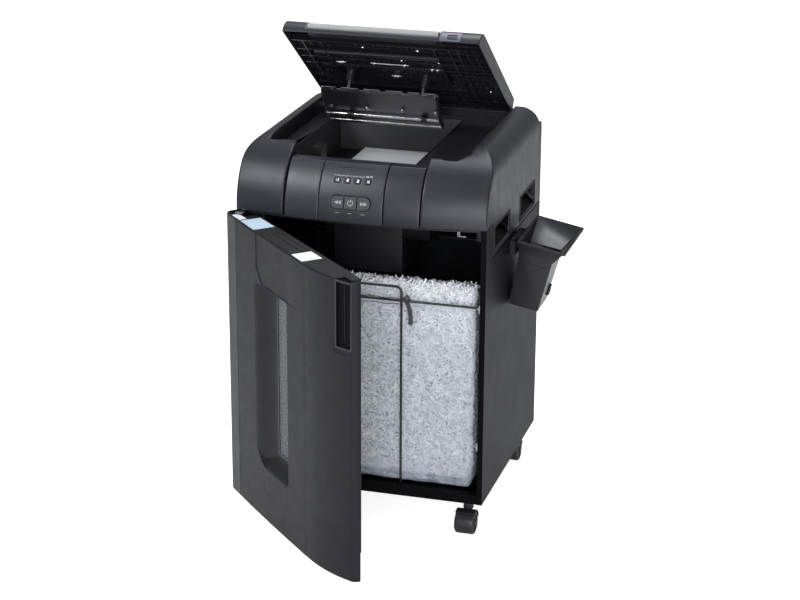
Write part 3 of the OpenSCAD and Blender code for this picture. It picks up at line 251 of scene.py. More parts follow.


# each material, and the name of its slot
MAT, SLOT = {}, {}
for key, slot, mat in (
        ("board", "panel_board", laminate("laminated_board", (0.0048, 0.0048, 0.0088))),
        # painted shade: a near-black, dull copy of the board for the cabinet's inside faces, its base and front
        # rail, and the hollows of the hand grips
        ("inside", "panel_board", laminate("board_painted_shade", (0.0016, 0.0016, 0.002), 0.06)),
        ("cover", "charcoal_plastic", moulded("charcoal_cover", (0.0150, 0.0150, 0.0195), 0.40, specular=0.4)),
        ("panel", "grey_plastic", moulded("grey_panel", (0.0245, 0.0245, 0.0315), 0.38, specular=0.45)),
        ("door", "door_plastic", moulded("door_plastic", (0.0055, 0.0054, 0.0085), 0.5, specular=0.25)),
        ("door_side", "door_plastic", moulded("door_edge_plastic", (0.016, 0.016, 0.018), 0.45, specular=0.35)),
        ("black", "black_plastic", moulded("black_plastic", (0.0045, 0.0045, 0.005), 0.5, specular=0.35)),
        ("inner", "black_plastic", moulded("lid_inner_plastic", (0.0068, 0.0064, 0.0092), 0.26,
                                           grain_scale=900.0)),
        ("tray", "charcoal_plastic", moulded("tray_plastic", (0.022, 0.022, 0.024), 0.5)),
        ("chute", "black_plastic", moulded("chute_plastic", (0.010, 0.010, 0.012), 0.4)),
        ("gloss", "gloss_black", moulded("gloss_black", (0.003, 0.003, 0.004), 0.14, 0.00001, wear=0.1)),
        ("silver", "silver_trim", moulded("silver_paint", (0.30, 0.30, 0.295), 0.55, grain_scale=2600.0,
                                          wear=0.1, specular=0.3)),
        ("latch", "silver_trim", moulded("latch_plastic", (0.085, 0.09, 0.12), 0.4, wear=0.1)),
        ("bin", "gloss_black", moulded("bin_plastic", (0.0085, 0.0082, 0.0115), 0.34, specular=0.4)),
        # painted light: a paler copy of the bin plastic for the bin's up-facing back lip
        ("bin_lip", "gloss_black", moulded("bin_lip_painted_light", (0.012, 0.012, 0.016), 0.30, specular=0.4)),
        ("key", "grey_plastic", moulded("key_plastic", (0.045, 0.045, 0.048), 0.38)),
        ("wheel", "wheel_plastic", moulded("wheel_plastic", (0.013, 0.013, 0.014), 0.42)),
        ("rubber", "rubber", moulded("rubber", (0.02, 0.02, 0.02), 0.8, 0.0001, 700.0)),
        ("circuit", "board", moulded("circuit_board", (0.02, 0.14, 0.06), 0.35)),
        ("motor", "motor_paint", moulded("motor_paint", (0.05, 0.05, 0.055), 0.4)),
        ("steel", "steel", brushed("brushed_steel", (0.45, 0.45, 0.46), 0.34)),
        ("plate", "steel", brushed("plate_steel", (0.16, 0.16, 0.17), 0.38)),
        ("chrome", "bright_steel", brushed("bright_steel", (0.85, 0.85, 0.86), 0.14)),
        ("brass", "brass", brushed("brass", (0.62, 0.5, 0.26), 0.3)),
        ("wire", "black_steel", moulded("black_wire", (0.012, 0.012, 0.013), 0.35, 0.00002)),
        ("paper", "paper", paper("paper", (0.86, 0.86, 0.87))),
        ("shreds", "shreds", paper("shreds", (0.78, 0.79, 0.82), 0.35)),
        # painted shade: a darker copy of the shreds' paper for the packed mass behind the loose strips
        ("fill", "shreds", paper("packed_shreds_painted_shade", (0.36, 0.38, 0.42), 0.05)),
        ("film", "bag_film", film("bag_film", (0.62, 0.67, 0.76), 0.2)),
        # painted shade: a darker, fainter copy of the film for the back of the bag
        ("film_back_shade", "bag_film", film("bag_film_back_painted_shade", (0.3, 0.33, 0.38), 0.03)),
        ("tape", "bag_film", moulded("drawn_tape", (0.045, 0.045, 0.055), 0.35, 0.00002)),
        ("tape_pale", "bag_film", moulded("gathered_film", (0.45, 0.44, 0.43), 0.3, 0.00002, wear=0.1)),
        ("clear", "clear", clear("clear_pane", (0.40, 0.42, 0.45), 0.14)),
        ("label_white", "paper", paper("label_white", (0.80, 0.81, 0.84))),
        ("label_blue", "paper", paper("label_blue", (0.50, 0.62, 0.72))),
        # painted light: the printed marks and the digits on the lamps glow, though they are print, not lamps
        ("ink", "gloss_black", glow("printed_marks_painted_glow", (0.34, 0.35, 0.38), 0.05)),
        ("ink_bright", "gloss_black", glow("lamp_digits_painted_glow", (0.75, 0.78, 0.85), 0.3)),
        ("lamp", "gloss_black", moulded("lamp_lens", (0.012, 0.012, 0.02), 0.12, 0.00001, wear=0.05))):
    MAT[key], SLOT[key] = mat, slot


# ------------------------------------------------------------------ mesh helpers
def add_object(name, data):
    obj = bpy.data.objects.new(name, data)
    bpy.context.scene.collection.objects.link(obj)
    return obj


def finish_piece(name, bm, material, body, node=None, smooth=35.0, matrix=None, also=(),
                 as_made=False, edge=0.0, steps=2):
    """Turns a bmesh into a piece that rides on a body, and may stand for a CAD node."""
    if not as_made:
        bmesh.ops.recalc_face_normals(bm, faces=bm.faces)
    mesh = bpy.data.meshes.new(name)
    bm.to_mesh(mesh)
    bm.free()
    if matrix is not None:
        mesh.transform(matrix)
    obj = add_object(name, mesh)
    mesh.materials.append(MAT[material])
    for extra in also:
        mesh.materials.append(MAT[extra])
    mesh.shade_smooth()
    if smooth:
        mesh.set_sharp_from_angle(angle=math.radians(smooth))
    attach(obj, body)
    if node:
        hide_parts(node)
    if edge:
        mod = obj.modifiers.new("edges", "BEVEL")
        mod.width, mod.segments = edge * MM, steps
        mod.limit_method, mod.angle_limit = "ANGLE", math.radians(32.0)
        mod.use_clamp_overlap, mod.harden_normals = False, True
    return obj


# nodes with a rim round an opening keep their triangles, so that the opening stays open
OPEN_RIMS = ("disc_bin", "shred_chute", "paper_tray", "feed_deck", "head_base")


def copy_of(node):
    bm = bmesh.new()
    bm.from_mesh(frame["nodes"][node].data)
    bmesh.ops.remove_doubles(bm, verts=bm.verts, dist=2e-6)
    return bm


def body_of(node):
    return frame["nodes"][node]["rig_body"]


def soften(node, material, width):
    """A copy of a CAD node with its edges rounded, which stands for that node."""
    bm = copy_of(node)
    if node not in OPEN_RIMS:
        bmesh.ops.dissolve_limit(bm, angle_limit=math.radians(0.6), verts=bm.verts, edges=bm.edges)
    return finish_piece(node + "_skin", bm, material, body_of(node), node, smooth=32.0, edge=width, steps=3)


def mould(node, material, cell, rounds):
    """A copy of a curved CAD node, remeshed so that every edge is softly rounded."""
    obj = finish_piece(node + "_skin", copy_of(node), material, body_of(node), node, smooth=0)
    cells = obj.modifiers.new("cells", "REMESH")
    cells.mode = "VOXEL"
    cells.voxel_size = cell * MM
    calm = obj.modifiers.new("calm", "SMOOTH")
    calm.factor = 0.5
    calm.iterations = rounds
    thin = obj.modifiers.new("thin", "DECIMATE")
    thin.ratio = 0.3
    graph = bpy.context.evaluated_depsgraph_get()
    mesh = bpy.data.meshes.new_from_object(obj.evaluated_get(graph))
    obj.modifiers.clear()
    obj.data = mesh
    obj.data.shade_smooth()
    return obj


def box_into(bm, lo, hi):
    """Adds a box between two corners, given in metres."""
    size = hi - lo
    for v in bmesh.ops.create_cube(bm, size=1.0)["verts"]:
        v.co = Vector(lo[i] + (v.co[i] + 0.5) * size[i] for i in range(3))


def box_piece(name, corners, material, body, **looks):
    """A piece made of boxes, each given by two corners."""
    bm = bmesh.new()
    for lo, hi in corners:
        box_into(bm, lo, hi)
    return finish_piece(name, bm, material, body, **looks)


def set_along(centre, axis):
    turn = Vector((0, 0, 1)).rotation_difference(axis.normalized()).to_matrix().to_4x4()
    return Matrix.Translation(centre) @ turn


def rod_into(bm, a, b, radius, segments=24, radius_b=None):
    """Adds a rod between two points; lengths in metres, radii in millimetres."""
    bmesh.ops.create_cone(bm, cap_ends=True, segments=segments, radius1=radius * MM,
                          radius2=(radius if radius_b is None else radius_b) * MM,
                          depth=(b - a).length, matrix=set_along((a + b) / 2, b - a))


def quads(bm, rows, wrap=False):
    """Faces between rows of points; wrap joins the end of each row to its start."""
    for near, far in zip(rows, rows[1:]):
        for i in range(len(near) if wrap else len(near) - 1):
            j = (i + 1) % len(near)
            bm.faces.new((near[i], near[j], far[j], far[i]))


def round_angles(count):
    return [2 * math.pi * i / count for i in range(count)]


def ring_into(bm, centre, axis, outer, inner, thick, segments=40):
    """Adds a flat ring about an axis; the centre in metres, sizes in millimetres."""
    place = set_along(centre, axis)
    outer, inner, half = outer * MM, inner * MM, thick * MM / 2
    rows = [[bm.verts.new(place @ Vector((radius * math.cos(a), radius * math.sin(a), z)))
             for a in round_angles(segments)]
            for radius, z in ((inner, -half), (outer, -half), (outer, half), (inner, half))]
    quads(bm, rows + rows[:1], wrap=True)


def tube_into(bm, points, radius, segments, closed=False):
    """Adds a round tube along points in metres, with its radius in millimetres."""
    rings = []
    count = len(points)
    for i, p in enumerate(points):
        before = points[(i - 1) % count] if closed or i else p
        after = points[(i + 1) % count] if closed or i < count - 1 else p
        ahead = (after - before).normalized()
        side = ahead.cross(Vector((0.123, 0.37, 0.92))).normalized()
        up = side.cross(ahead)
        rings.append([bm.verts.new(p + (side * math.cos(a) + up * math.sin(a)) * (radius * MM))
                      for a in round_angles(segments)])
    quads(bm, rings + rings[:1] if closed else rings, wrap=True)
    if not closed:
        bm.faces.new(rings[0][::-1])
        bm.faces.new(rings[-1])


# ------------------------------------------------------------------ CAD nodes with softened edges
CASTERS = ("front_left", "front_right", "rear_left", "rear_right")
# material, width of the rounding in millimetres
SOFT_EDGES = {
    "side_panel_left": ("board", 0.8), "side_panel_right": ("board", 0.8), "back_panel": ("board", 0.6),
    "base_panel": ("inside", 0.6), "front_rail": ("inside", 1.2), "head_base": ("black", 0.5),
    "rear_cover": ("cover", 0.8), "feed_deck": ("cover", 0.8), "paper_tray": ("tray", 0.7),
    "paper_guide": ("black", 1.0), "lid_inner": ("inner", 0.5), "pressure_plate": ("plate", 0.5),
    "door_liner": ("black", 1.0), "door_window": ("clear", 0.3), "door_handle": ("gloss", 0.6),
    "door_brackets": ("steel", 0.4), "shred_chute": ("chute", 0.6), "power_inlet": ("gloss", 0.5),
    "power_switch": ("gloss", 0.5), "motor": ("motor", 1.2), "cutter_frame": ("steel", 0.5),
    "disc_bin": ("bin", 1.0), "bin_bracket": ("black", 0.6), "circuit_board": ("circuit", 0.2),
    "feed_tyres": ("rubber", 0.8),
    **{"button_" + key: ("key", 0.5) for key in ("reverse", "power", "forward")},
    "lid_latch": ("latch", 0.6), "lid_rail": ("silver", 0.6), "bag_frame": ("wire", 0.0),
    **{"caster_" + name: ("wheel", 0.5) for name in CASTERS},
    "indicator_lamps": ("lamp", 0.4), "paper_stack": ("paper", 0.2),
}
# material, size of the cells in millimetres, rounds of smoothing
MOULDED = {
    "cheek_left": ("cover", 2.0, 14), "cheek_right": ("cover", 2.0, 14), "lid_shell": ("cover", 2.0, 4),
    "front_panel_left": ("panel", 1.5, 4), "front_panel_right": ("cover", 1.5, 4),
    "control_panel": ("panel", 1.2, 4),
}
PLAIN = {
    "panel_screws": "steel", "door_pins": "steel", "feed_roller": "steel", "cutter_front": "steel",
    "cutter_rear": "steel", "gear_front": "steel", "gear_rear": "steel", "motor_pinion": "brass",
    "lid_posts": "chrome", "plate_rods": "chrome",
}


def tag(obj, material, chosen):
    """Gives a second material to the faces that a test chooses."""
    obj.data.materials.append(MAT[material])
    for face in obj.data.polygons:
        if chosen(face):
            face.material_index = 1


def in_pocket(face):
    """Whether a face lies in the hollows behind the hand grips, which are painted darker as shade."""
    c = (face.center - at(0, 0, 0)) / MM
    return abs(c.x) < HALF_W - 2.5 and 69 < c.y < 432 and 544 < c.z < 595


def on_back_lip(face):
    """Whether a face belongs to the bin's sloped back lip, which faces up and gets a paler plastic as painted
    light.
    """
    return face.normal.z > 0.6 and face.normal.y < -0.2 and face.center.z > BASE_Z + 470 * MM


def draw_in(obj):
    """The liner's free edge stands back behind the curved skin's edge."""
    back = DOOR.inverted()
    places = [back @ v.co for v in obj.data.vertices]
    start, end = 200.0 * MM, max(p.x for p in places)
    for v, p in zip(obj.data.vertices, places):
        if p.x > start:
            p.x = start + (p.x - start) * (end - 27.0 * MM - start) / (end - start)
            v.co = DOOR @ p


def dress_nodes():
    skins = {name: soften(name, *dress) for name, dress in SOFT_EDGES.items()}
    skins.update({name: mould(name, *dress) for name, dress in MOULDED.items()})
    # painted shade: the boards' faces that look into the cabinet get the near-black copy of the board
    for name, out in (("side_panel_left", (-1, 0, 0)), ("side_panel_right", (1, 0, 0)),
                      ("back_panel", (0, 1, 0))):
        tag(skins[name], "inside", lambda face: face.normal.dot(Vector(out)) < 0.5)
    # painted light: the bin's up-facing back lip is made paler
    tag(skins["disc_bin"], "bin_lip", on_back_lip)
    # painted shade: the hollows behind the hand grips get the near-black copy of the board
    for side in ("left", "right"):
        tag(skins["cheek_" + side], "inside", in_pocket)
    draw_in(skins["door_liner"])
    for name, material in PLAIN.items():
        for slot in frame["nodes"][name].material_slots:
            slot.material = MAT[material]


# ------------------------------------------------------------------ door
DOOR_FRONT = -48.0
DOOR_LOW, DOOR_HIGH = -16.0, 609.0
DOOR_TURN_X, DOOR_TURN_R = 130.0, 330.0
DOOR_FLAT_X, DOOR_FLAT_R = 110.0, 8700.0
WINDOW = (-46.0, 28.0, 142.0, 490.0)
SCOOP = (-120.0, 40.0, 102.0, 504.0)
SCOOP_FLOOR = -27.0
SCOOP_CORNERS = (62.0, 18.0, 26.0, 4.0)
SEAM_X = -213.0
LEDGE_H = 600.6
DOOR_CORNERS = ((-1, 14.0, -26.3), (1, 17.0, -5.8))  # side, radius, depth of the radius's centre
HANDLE = (224.0, 265.0, 468.0, 609.0)


def smoothstep(a, b, x):
    t = max(0.0, min(1.0, (x - a) / (b - a)))
    return t * t * (3 - 2 * t)


def door_face(x):
    """Depth of the door's front at a place across it."""
    r, start = (DOOR_FLAT_R, DOOR_FLAT_X) if x < DOOR_TURN_X else (DOOR_TURN_R, DOOR_TURN_X)
    d = DOOR_FRONT + (r - math.sqrt(r ** 2 - (x - start) ** 2))
    for side, radius, centre in DOOR_CORNERS:
        past = side * x - (HALF_W - radius)
        if past > 0.0:
            d = max(d, centre - math.sqrt(max(0.0, radius ** 2 - past ** 2)))
    return d


def rounded_box_distance(x, h, x0, x1, h0, h1, corners):
    """Signed distance outside (+) or inside (-) a box whose corners have their own radii."""
    cx, ch = (x0 + x1) / 2, (h0 + h1) / 2
    left, low = x < cx, h < ch
    r = corners[(0 if left else 1) + (0 if low else 2)]
    qx = abs(x - cx) - (x1 - x0) / 2 + r
    qh = abs(h - ch) - (h1 - h0) / 2 + r
    return math.hypot(max(qx, 0.0), max(qh, 0.0)) + min(max(qx, qh), 0.0) - r


def scoop_depth(x, h):
    """How deep the hollow round the window is at a place on the door."""
    x0, x1, h0, h1 = SCOOP
    out = rounded_box_distance(x, h, x0, x1, h0, h1, SCOOP_CORNERS)
    if out >= 0.0:
        return 0.0
    full = SCOOP_FLOOR - door_face(x)
    left_wall = smoothstep(0.0, WINDOW[0] - x0 - 2.0, x - x0) ** 0.8
    right_wall = smoothstep(0.0, x1 - WINDOW[1] - 2.0, x1 - x)
    foot = smoothstep(0.0, WINDOW[2] - h0, h - h0) ** 0.7
    head = smoothstep(0.0, h1 - WINDOW[3], h1 - h)
    return full * min(left_wall, right_wall, foot, head)


def panel_step(x, h):
    """The raised leaf of the front that starts past the seam and ends at the hollow."""
    edge = -108.0 + max(0.0, (536.0 - h)) * 0.85
    return 1.6 * smoothstep(-1.2, 1.2, x - edge) * smoothstep(90.0, 30.0, x) if h > SCOOP[3] else 0.0


def seam_groove(x):
    return 1.5 * math.exp(-((x - SEAM_X) / 1.1) ** 2)


def crease_lift(x):
    return 0.4 * smoothstep(114.0, 125.0, x)


def places_along(runs, extra):
    """Places in order: evenly spaced in each run (from, to, step), and some more."""
    places = set(extra)
    for a, b, step in runs:
        n = max(1, round((b - a) / step))
        places.update(round(a + (b - a) * i / n, 3) for i in range(n + 1))
    return sorted(places)


def door_columns():
    """Places across the door, closer together where its shape changes."""
    turns = []
    for a in (math.radians(i * 90 / 8) for i in range(9)):
        turns.append(round(-HALF_W + DOOR_CORNERS[0][1] * (1 - math.cos(a)), 3))
        turns.append(round(HALF_W - DOOR_CORNERS[1][1] * (1 - math.cos(a)), 3))
    runs = ((-256, -217, 6), (-217, -209, 0.5), (-209, -122, 6), (-122, -40, 2.5), (-112, -84, 1.0),
            (-46, 28, 8), (28, 42, 1.5), (42, 116, 8), (116, 126, 1.0), (126, 224, 5), (224, 253, 4))
    return places_along(runs, turns + [HANDLE[0], HANDLE[1], WINDOW[0], WINDOW[1]])


def door_rows():
    runs = ((DOOR_LOW, DOOR_LOW + 4, 1), (DOOR_LOW + 4, 96, 10), (96, 150, 2.5), (150, 480, 12), (480, 512, 2),
            (512, DOOR_HIGH - 4, 4), (DOOR_HIGH - 4, DOOR_HIGH, 1))
    return places_along(runs, (WINDOW[2], WINDOW[3], HANDLE[2]))


def door_front():
    """The door's skin as one fine sheet with its window and finger cup left open."""
    bm = bmesh.new()
    xs, hs = door_columns(), door_rows()
    grid = {}
    for i, x in enumerate(xs):
        for k, h in enumerate(hs):
            edge = min(h - DOOR_LOW, DOOR_HIGH - h)
            round_off = 1.4 * (1 - smoothstep(0.0, 3.0, edge))
            d = door_face(x) + scoop_depth(x, h) + seam_groove(x) + crease_lift(x) + round_off
            grid[i, k] = bm.verts.new(at(x, d + panel_step(x, h), h))
    for i in range(len(xs) - 1):
        for k in range(len(hs) - 1):
            x, h = (xs[i] + xs[i + 1]) / 2, (hs[k] + hs[k + 1]) / 2
            if WINDOW[0] < x < WINDOW[1] and WINDOW[2] < h < WINDOW[3]:
                continue
            if HANDLE[0] < x < HANDLE[1] and h > HANDLE[2]:
                continue
            face = bm.faces.new((grid[i, k], grid[i + 1, k], grid[i + 1, k + 1], grid[i, k + 1]))
            if x < SEAM_X:
                face.material_index = 1
    # the two side faces, back to where the skin ends
    for i, back in ((0, -6.0), (len(xs) - 1, -1.5)):
        rear = [bm.verts.new(at(xs[i], back, h)) for h in hs]
        for k in range(len(hs) - 1):
            corners = (grid[i, k], grid[i, k + 1], rear[k + 1], rear[k])
            bm.faces.new(corners if i == 0 else corners[::-1])
    obj = finish_piece("door_skin_front", bm, "door", "door", "door_skin", smooth=28, matrix=DOOR,
                       also=("door_side",), as_made=True)
    solid = obj.modifiers.new("wall", "SOLIDIFY")
    solid.thickness = 3.0 * MM
    solid.offset = -1.0
    solid.use_even_offset = True
    return obj


def door_ledge():
    """Labels and the lifting groove on the door's top ledge."""
    for name, x0, x1, d0, d1, slot in (("door_label_upper", -262, -222, -38, -12, "label_white"),
                                       ("door_label_blue", -216, -146, -36, 16, "label_blue"),
                                       ("door_label_lower", 36, 86, -36, 10, "label_white")):
        box_piece(name, [(at(x0, d0, LEDGE_H + 0.4), at(x1, d1, LEDGE_H + 0.9))], slot, "door",
                  matrix=DOOR, edge=0.2)
    sides = (-112, 26, -8, -5), (-112, 26, 6, 9), (-112, -108, -8, 9), (22, 26, -8, 9)
    box_piece("door_groove", [(at(x0, d0, LEDGE_H), at(x1, d1, LEDGE_H + 1.6)) for x0, x1, d0, d1 in sides],
              "black", "door", matrix=DOOR, edge=0.8, steps=3)


def window_frame():
    """A thin raised lip round the pane."""
    x0, x1, h0, h1 = WINDOW
    sides = (x0, h0, x0 + 3, h1), (x1 - 3, h0, x1, h1), (x0, h0, x1, h0 + 3), (x0, h1 - 3, x1, h1)
    box_piece("window_lip", [(at(xa, SCOOP_FLOOR - 0.8, ha), at(xb, SCOOP_FLOOR + 0.5, hb))
                             for xa, ha, xb, hb in sides], "gloss", "door", matrix=DOOR, edge=0.5)


# ------------------------------------------------------------------ control panel
ARC_R = 140.0
ARC_H = 610.0
PANEL_X = -14.0
KEY_H, LAMP_H = 648.0, 690.0
UNDER_H, SCALE_H, EDGE_H = 627.0, 697.5, 712.0  # the printed lines below the keys and over the lamps
KEY_STEP, LAMP_STEP = 28.0, 22.0
FACE_D = -23.4
BOW_D = -24.0
BOW_R = 1530.0


def on_face(x, tilt, up, out, bowed=False):
    """A point over the front's curve: tilted back by an angle, up along it and out from it.

    The keys and lamps share one flat front; the panel round them bows backwards to its sides.
    """
    t = math.radians(tilt)
    y = math.sin(t) * (ARC_R + out) + math.cos(t) * up
    back = math.cos(t) * (ARC_R + out) - math.sin(t) * up
    face = BOW_D + x * x / (2 * BOW_R) if bowed else FACE_D
    return at(x, face + ARC_R - back, ARC_H + y)


def tilt_at(h):
    return math.degrees(math.asin((h - ARC_H) / ARC_R))


def flat_mark(name, loops, tilt, out, material, body="cabinet", bowed=False):
    """Thin printed shapes on the front's curve, from outlines in x and up."""
    bm = bmesh.new()
    for loop in loops:
        front = [bm.verts.new(on_face(x, tilt, up, out, bowed)) for x, up in loop]
        back = [bm.verts.new(on_face(x, tilt, up, out - 0.25, bowed)) for x, up in loop]
        bm.faces.new(front)
        bm.faces.new(back[::-1])
        quads(bm, [front, back], wrap=True)
    return finish_piece(name, bm, material, body)


def arrows(x, size, way):
    """Two chevron triangles side by side."""
    out = []
    for k in (-1, 0):
        a = x + (k + 0.5) * size * 0.95
        tip, base = (a + size / 2, a - size / 2) if way > 0 else (a - size / 2, a + size / 2)
        out.append([(base, -size * 0.55), (tip, 0.0), (base, size * 0.55)][::way])
    return out


def ring_loops(x, outer, inner, parts=24):
    """A ring drawn as short four-sided pieces, open at its top."""
    loops = []
    for i in range(parts):
        a0, a1 = 360.0 * i / parts, 360.0 * (i + 1) / parts
        if 60.0 < (a0 + a1) / 2 < 120.0:
            continue
        loops.append([(x + r * math.cos(math.radians(a)), r * math.sin(math.radians(a)))
                      for r, a in ((outer, a0), (outer, a1), (inner, a1), (inner, a0))])
    return loops


def bar(x0, x1, up0, up1):
    return [(x0, up0), (x1, up0), (x1, up1), (x0, up1)]


SEVEN = {"1": "bc", "2": "abged", "3": "abgcd", "4": "fgbc"}


def digit(ch, x, w, h, t):
    """One generic digit from seven strokes."""
    seg = {"a": bar(x, x + w, h - t, h), "g": bar(x, x + w, (h - t) / 2, (h + t) / 2),
           "d": bar(x, x + w, 0, t), "f": bar(x, x + t, h / 2, h), "b": bar(x + w - t, x + w, h / 2, h),
           "e": bar(x, x + t, 0, h / 2), "c": bar(x + w - t, x + w, 0, h / 2)}
    return [seg[s] for s in SEVEN[ch]]


def control_marks():
    keys = tilt_at(KEY_H)
    lamps = tilt_at(LAMP_H)
    flat_mark("mark_reverse", arrows(PANEL_X - 27, 7.5, -1), keys, 1.3, "ink", body="reverse_key")
    flat_mark("mark_forward", arrows(PANEL_X + 29, 7.5, 1), keys, 1.3, "ink", body="forward_key")
    ring = ring_loops(PANEL_X, 6.2, 4.6) + [bar(PANEL_X - 0.8, PANEL_X + 0.8, 1.0, 7.4)]
    flat_mark("mark_power", ring, keys, 1.3, "ink", body="power_key")
    for i, ch in enumerate("1234"):
        x = PANEL_X + (i - 1.5) * LAMP_STEP
        loops = [[(px, up - 3.2) for px, up in loop] for loop in digit(ch, x - 2.0, 4.0, 6.4, 1.3)]
        flat_mark("lamp_digit_%s" % ch, loops, lamps, 0.75, "ink_bright")
    scale = [bar(PANEL_X - 41, PANEL_X + 24, 0.0, 0.8)]
    scale += [bar(PANEL_X - 41 + k * 9, PANEL_X - 40 + k * 9, 0.8, 2.6) for k in range(8)]
    scale += [bar(PANEL_X + 27, PANEL_X + 33, 0.4, 3.4), bar(PANEL_X + 35, PANEL_X + 40, 1.2, 4.2)]
    flat_mark("scale_line", scale, tilt_at(SCALE_H), 0.3, "ink", bowed=True)
    edge = [bar(PANEL_X - 38, PANEL_X + 34, -0.4, 0.4)]
    flat_mark("panel_line", edge, tilt_at(EDGE_H), 0.25, "gloss", bowed=True)
    for name, x in (("under_reverse", -KEY_STEP), ("under_power", 0), ("under_forward", KEY_STEP)):
        small = [bar(PANEL_X + x - 4.5, PANEL_X + x + 4.5, -0.4, 0.5)]
        flat_mark(name, small, tilt_at(UNDER_H), 0.3, "ink", bowed=True)
    bm = bmesh.new()
    for k in range(3):
        for end in (-1, 1):
            x = PANEL_X + (k - 1) * KEY_STEP
            rod_into(bm, on_face(x - 9, keys, end * 10.5, 1.15), on_face(x + 9, keys, end * 10.5, 1.15), 0.5, 8)
    finish_piece("key_rims", bm, "key", "power_key")


def lamp_lenses():
    """Each lamp's domed lens."""
    lamps = tilt_at(LAMP_H)
    for i in range(4):
        x = PANEL_X + (i - 1.5) * LAMP_STEP
        bm = bmesh.new()
        rows = []
        for k in range(7):
            up = (k / 6 - 0.5) * 10.4
            rows.append([])
            for j in range(7):
                across = (j / 6 - 0.5) * 10.4
                dome = 0.45 * (1 - (abs(across) / 5.2) ** 3) * (1 - (abs(up) / 5.2) ** 3)
                rows[-1].append(bm.verts.new(on_face(x + across, lamps, up, 0.1 + dome)))
        quads(bm, rows)
        finish_piece("lamp_lens_%d" % (i + 1), bm, "lamp", "cabinet", smooth=60)


# ------------------------------------------------------------------ lid
LID_V = 8.5  # the underside of the lid's inner panel
POSTS_X, POSTS_U = (-115, 52), 197


def lid_box(bm, x0, x1, u0, u1, v0, v1):
    return box_into(bm, on_lid(x0, u1, v0), on_lid(x1, u0, v1))


def lid_ribs():
    """Cross ribs, screw towers and pads under the lid's inner panel."""
    boxes = []
    for x in range(-196, 100, 37):
        boxes += [(x, x + 2.2, 234, 256, 3.0, LID_V), (x + 8, x + 10, 304, 342, 2.0, LID_V)]
    boxes += [(x, x + 2, 30, 210, 0.0, LID_V) for x in range(112, 185, 18)]
    boxes += [(106, 200, u, u + 2, -1.5, LID_V) for u in range(40, 361, 40)]
    boxes += [(-212, -182, u, u + 2, 0.0, LID_V) for u in range(60, 193, 44)]
    bm = bmesh.new()
    for box in boxes:
        lid_box(bm, *box)
    finish_piece("lid_cross_ribs", bm, "inner", "lid", matrix=LID, edge=0.5)
    bm = bmesh.new()
    for x, u in ((-150, 262), (-70, 262), (12, 262), (94, 262), (-176, 318), (-60, 322), (60, 322),
                 (150, 318), (180, 120), (-196, 150)):
        rod_into(bm, on_lid(x, u, LID_V), on_lid(x, u, 0.5), 6.5, 28, 5.0)
        rod_into(bm, on_lid(x, u, 2.0), on_lid(x, u, -1.0), 2.6, 16)
    finish_piece("lid_screw_towers", bm, "inner", "lid", matrix=LID, edge=0.4)
    bm = bmesh.new()
    for x, u in ((-150, 262), (12, 262), (94, 262), (-60, 322), (60, 322), (180, 120)):
        rod_into(bm, on_lid(x, u, -1.0), on_lid(x, u, -2.6), 3.4, 24, 2.6)
    finish_piece("lid_screws", bm, "chrome", "lid", matrix=LID, edge=0.3)


def lid_beams():
    """The two hollow beams across the lid, with their rounded lower edges."""
    for name, u, v, r in (("lid_beam_front", 281, 3.0, 9.0), ("lid_beam_back", 214, 4.0, 8.0)):
        bm = bmesh.new()
        rod_into(bm, on_lid(-176, u, v), on_lid(100, u, v), r, 40)
        for x in range(-170, 100, 30):
            ring_into(bm, on_lid(x, u, v), Vector((1, 0, 0)), r + 1.2, r - 1, 3)
        finish_piece(name, bm, "inner", "lid", matrix=LID, smooth=40)


def lid_works():
    """The posts' springs and guides, and the bright shafts that show under the lid."""
    bm = bmesh.new()
    for x in POSTS_X:
        turns = [2 * math.pi * i / 12 for i in range(120)]
        tube_into(bm, [on_lid(x + 7.2 * math.cos(a), POSTS_U + 7.2 * math.sin(a), -4 - i * 0.22)
                       for i, a in enumerate(turns)], 0.8, 6)
    finish_piece("post_springs", bm, "wire", "lid", matrix=LID, smooth=60)
    bm = bmesh.new()
    for x in POSTS_X:
        ring_into(bm, on_lid(x, POSTS_U, 3), Vector((0, 0, 1)), 13, 5.2, 10)
        for x0 in (x - 17, x + 12):
            lid_box(bm, x0, x0 + 5, POSTS_U - 12, POSTS_U + 12, 1.0, LID_V)
    finish_piece("post_guides", bm, "inner", "lid", matrix=LID, smooth=40, edge=0.5)
    bm = bmesh.new()
    for x0, x1, u in ((-62, 22, 240), (-140, -118, 236), (64, 92, 226), (-30, -8, 176)):
        rod_into(bm, on_lid(x0, u, -1.5), on_lid(x1, u, -1.5), 2.2, 20)
        for x in (x0 + 8, x1 - 8):
            ring_into(bm, on_lid(x, u, -1.5), Vector((1, 0, 0)), 5.0, 2.25, 4)
            lid_box(bm, x - 2, x + 2, u - 3, u + 3, -1.0, LID_V)
    finish_piece("lid_shafts", bm, "chrome", "lid", matrix=LID, smooth=40, edge=0.4)


def pressure_details():
    """The pressure plate's fingers and rivets, and the collars on its rods."""
    bm = bmesh.new()
    for x in (-150, -108, -66, -24, 18, 60):
        lid_box(bm, x, x + 16, 100, 104, -87.5, -82)
    finish_piece("plate_fingers", bm, "plate", "plate", matrix=LID, edge=0.4)
    bm = bmesh.new()
    for x in (-162, -80, 0, 74):
        rod_into(bm, on_lid(x, 150, -69.5), on_lid(x, 150, -73.5), 4.0, 24)
        rod_into(bm, on_lid(x + 10, 198, -52.5), on_lid(x + 10, 198, -49.2), 3.2, 24)
    finish_piece("plate_rivets", bm, "steel", "plate", matrix=LID, edge=0.4)
    bm = bmesh.new()
    for x in (-120, 46):
        ring_into(bm, on_lid(x, 131, -80.5), Vector((1, 0, 0)), 6, 3.05, 12)
    finish_piece("rod_collars", bm, "black", "plate", matrix=LID)


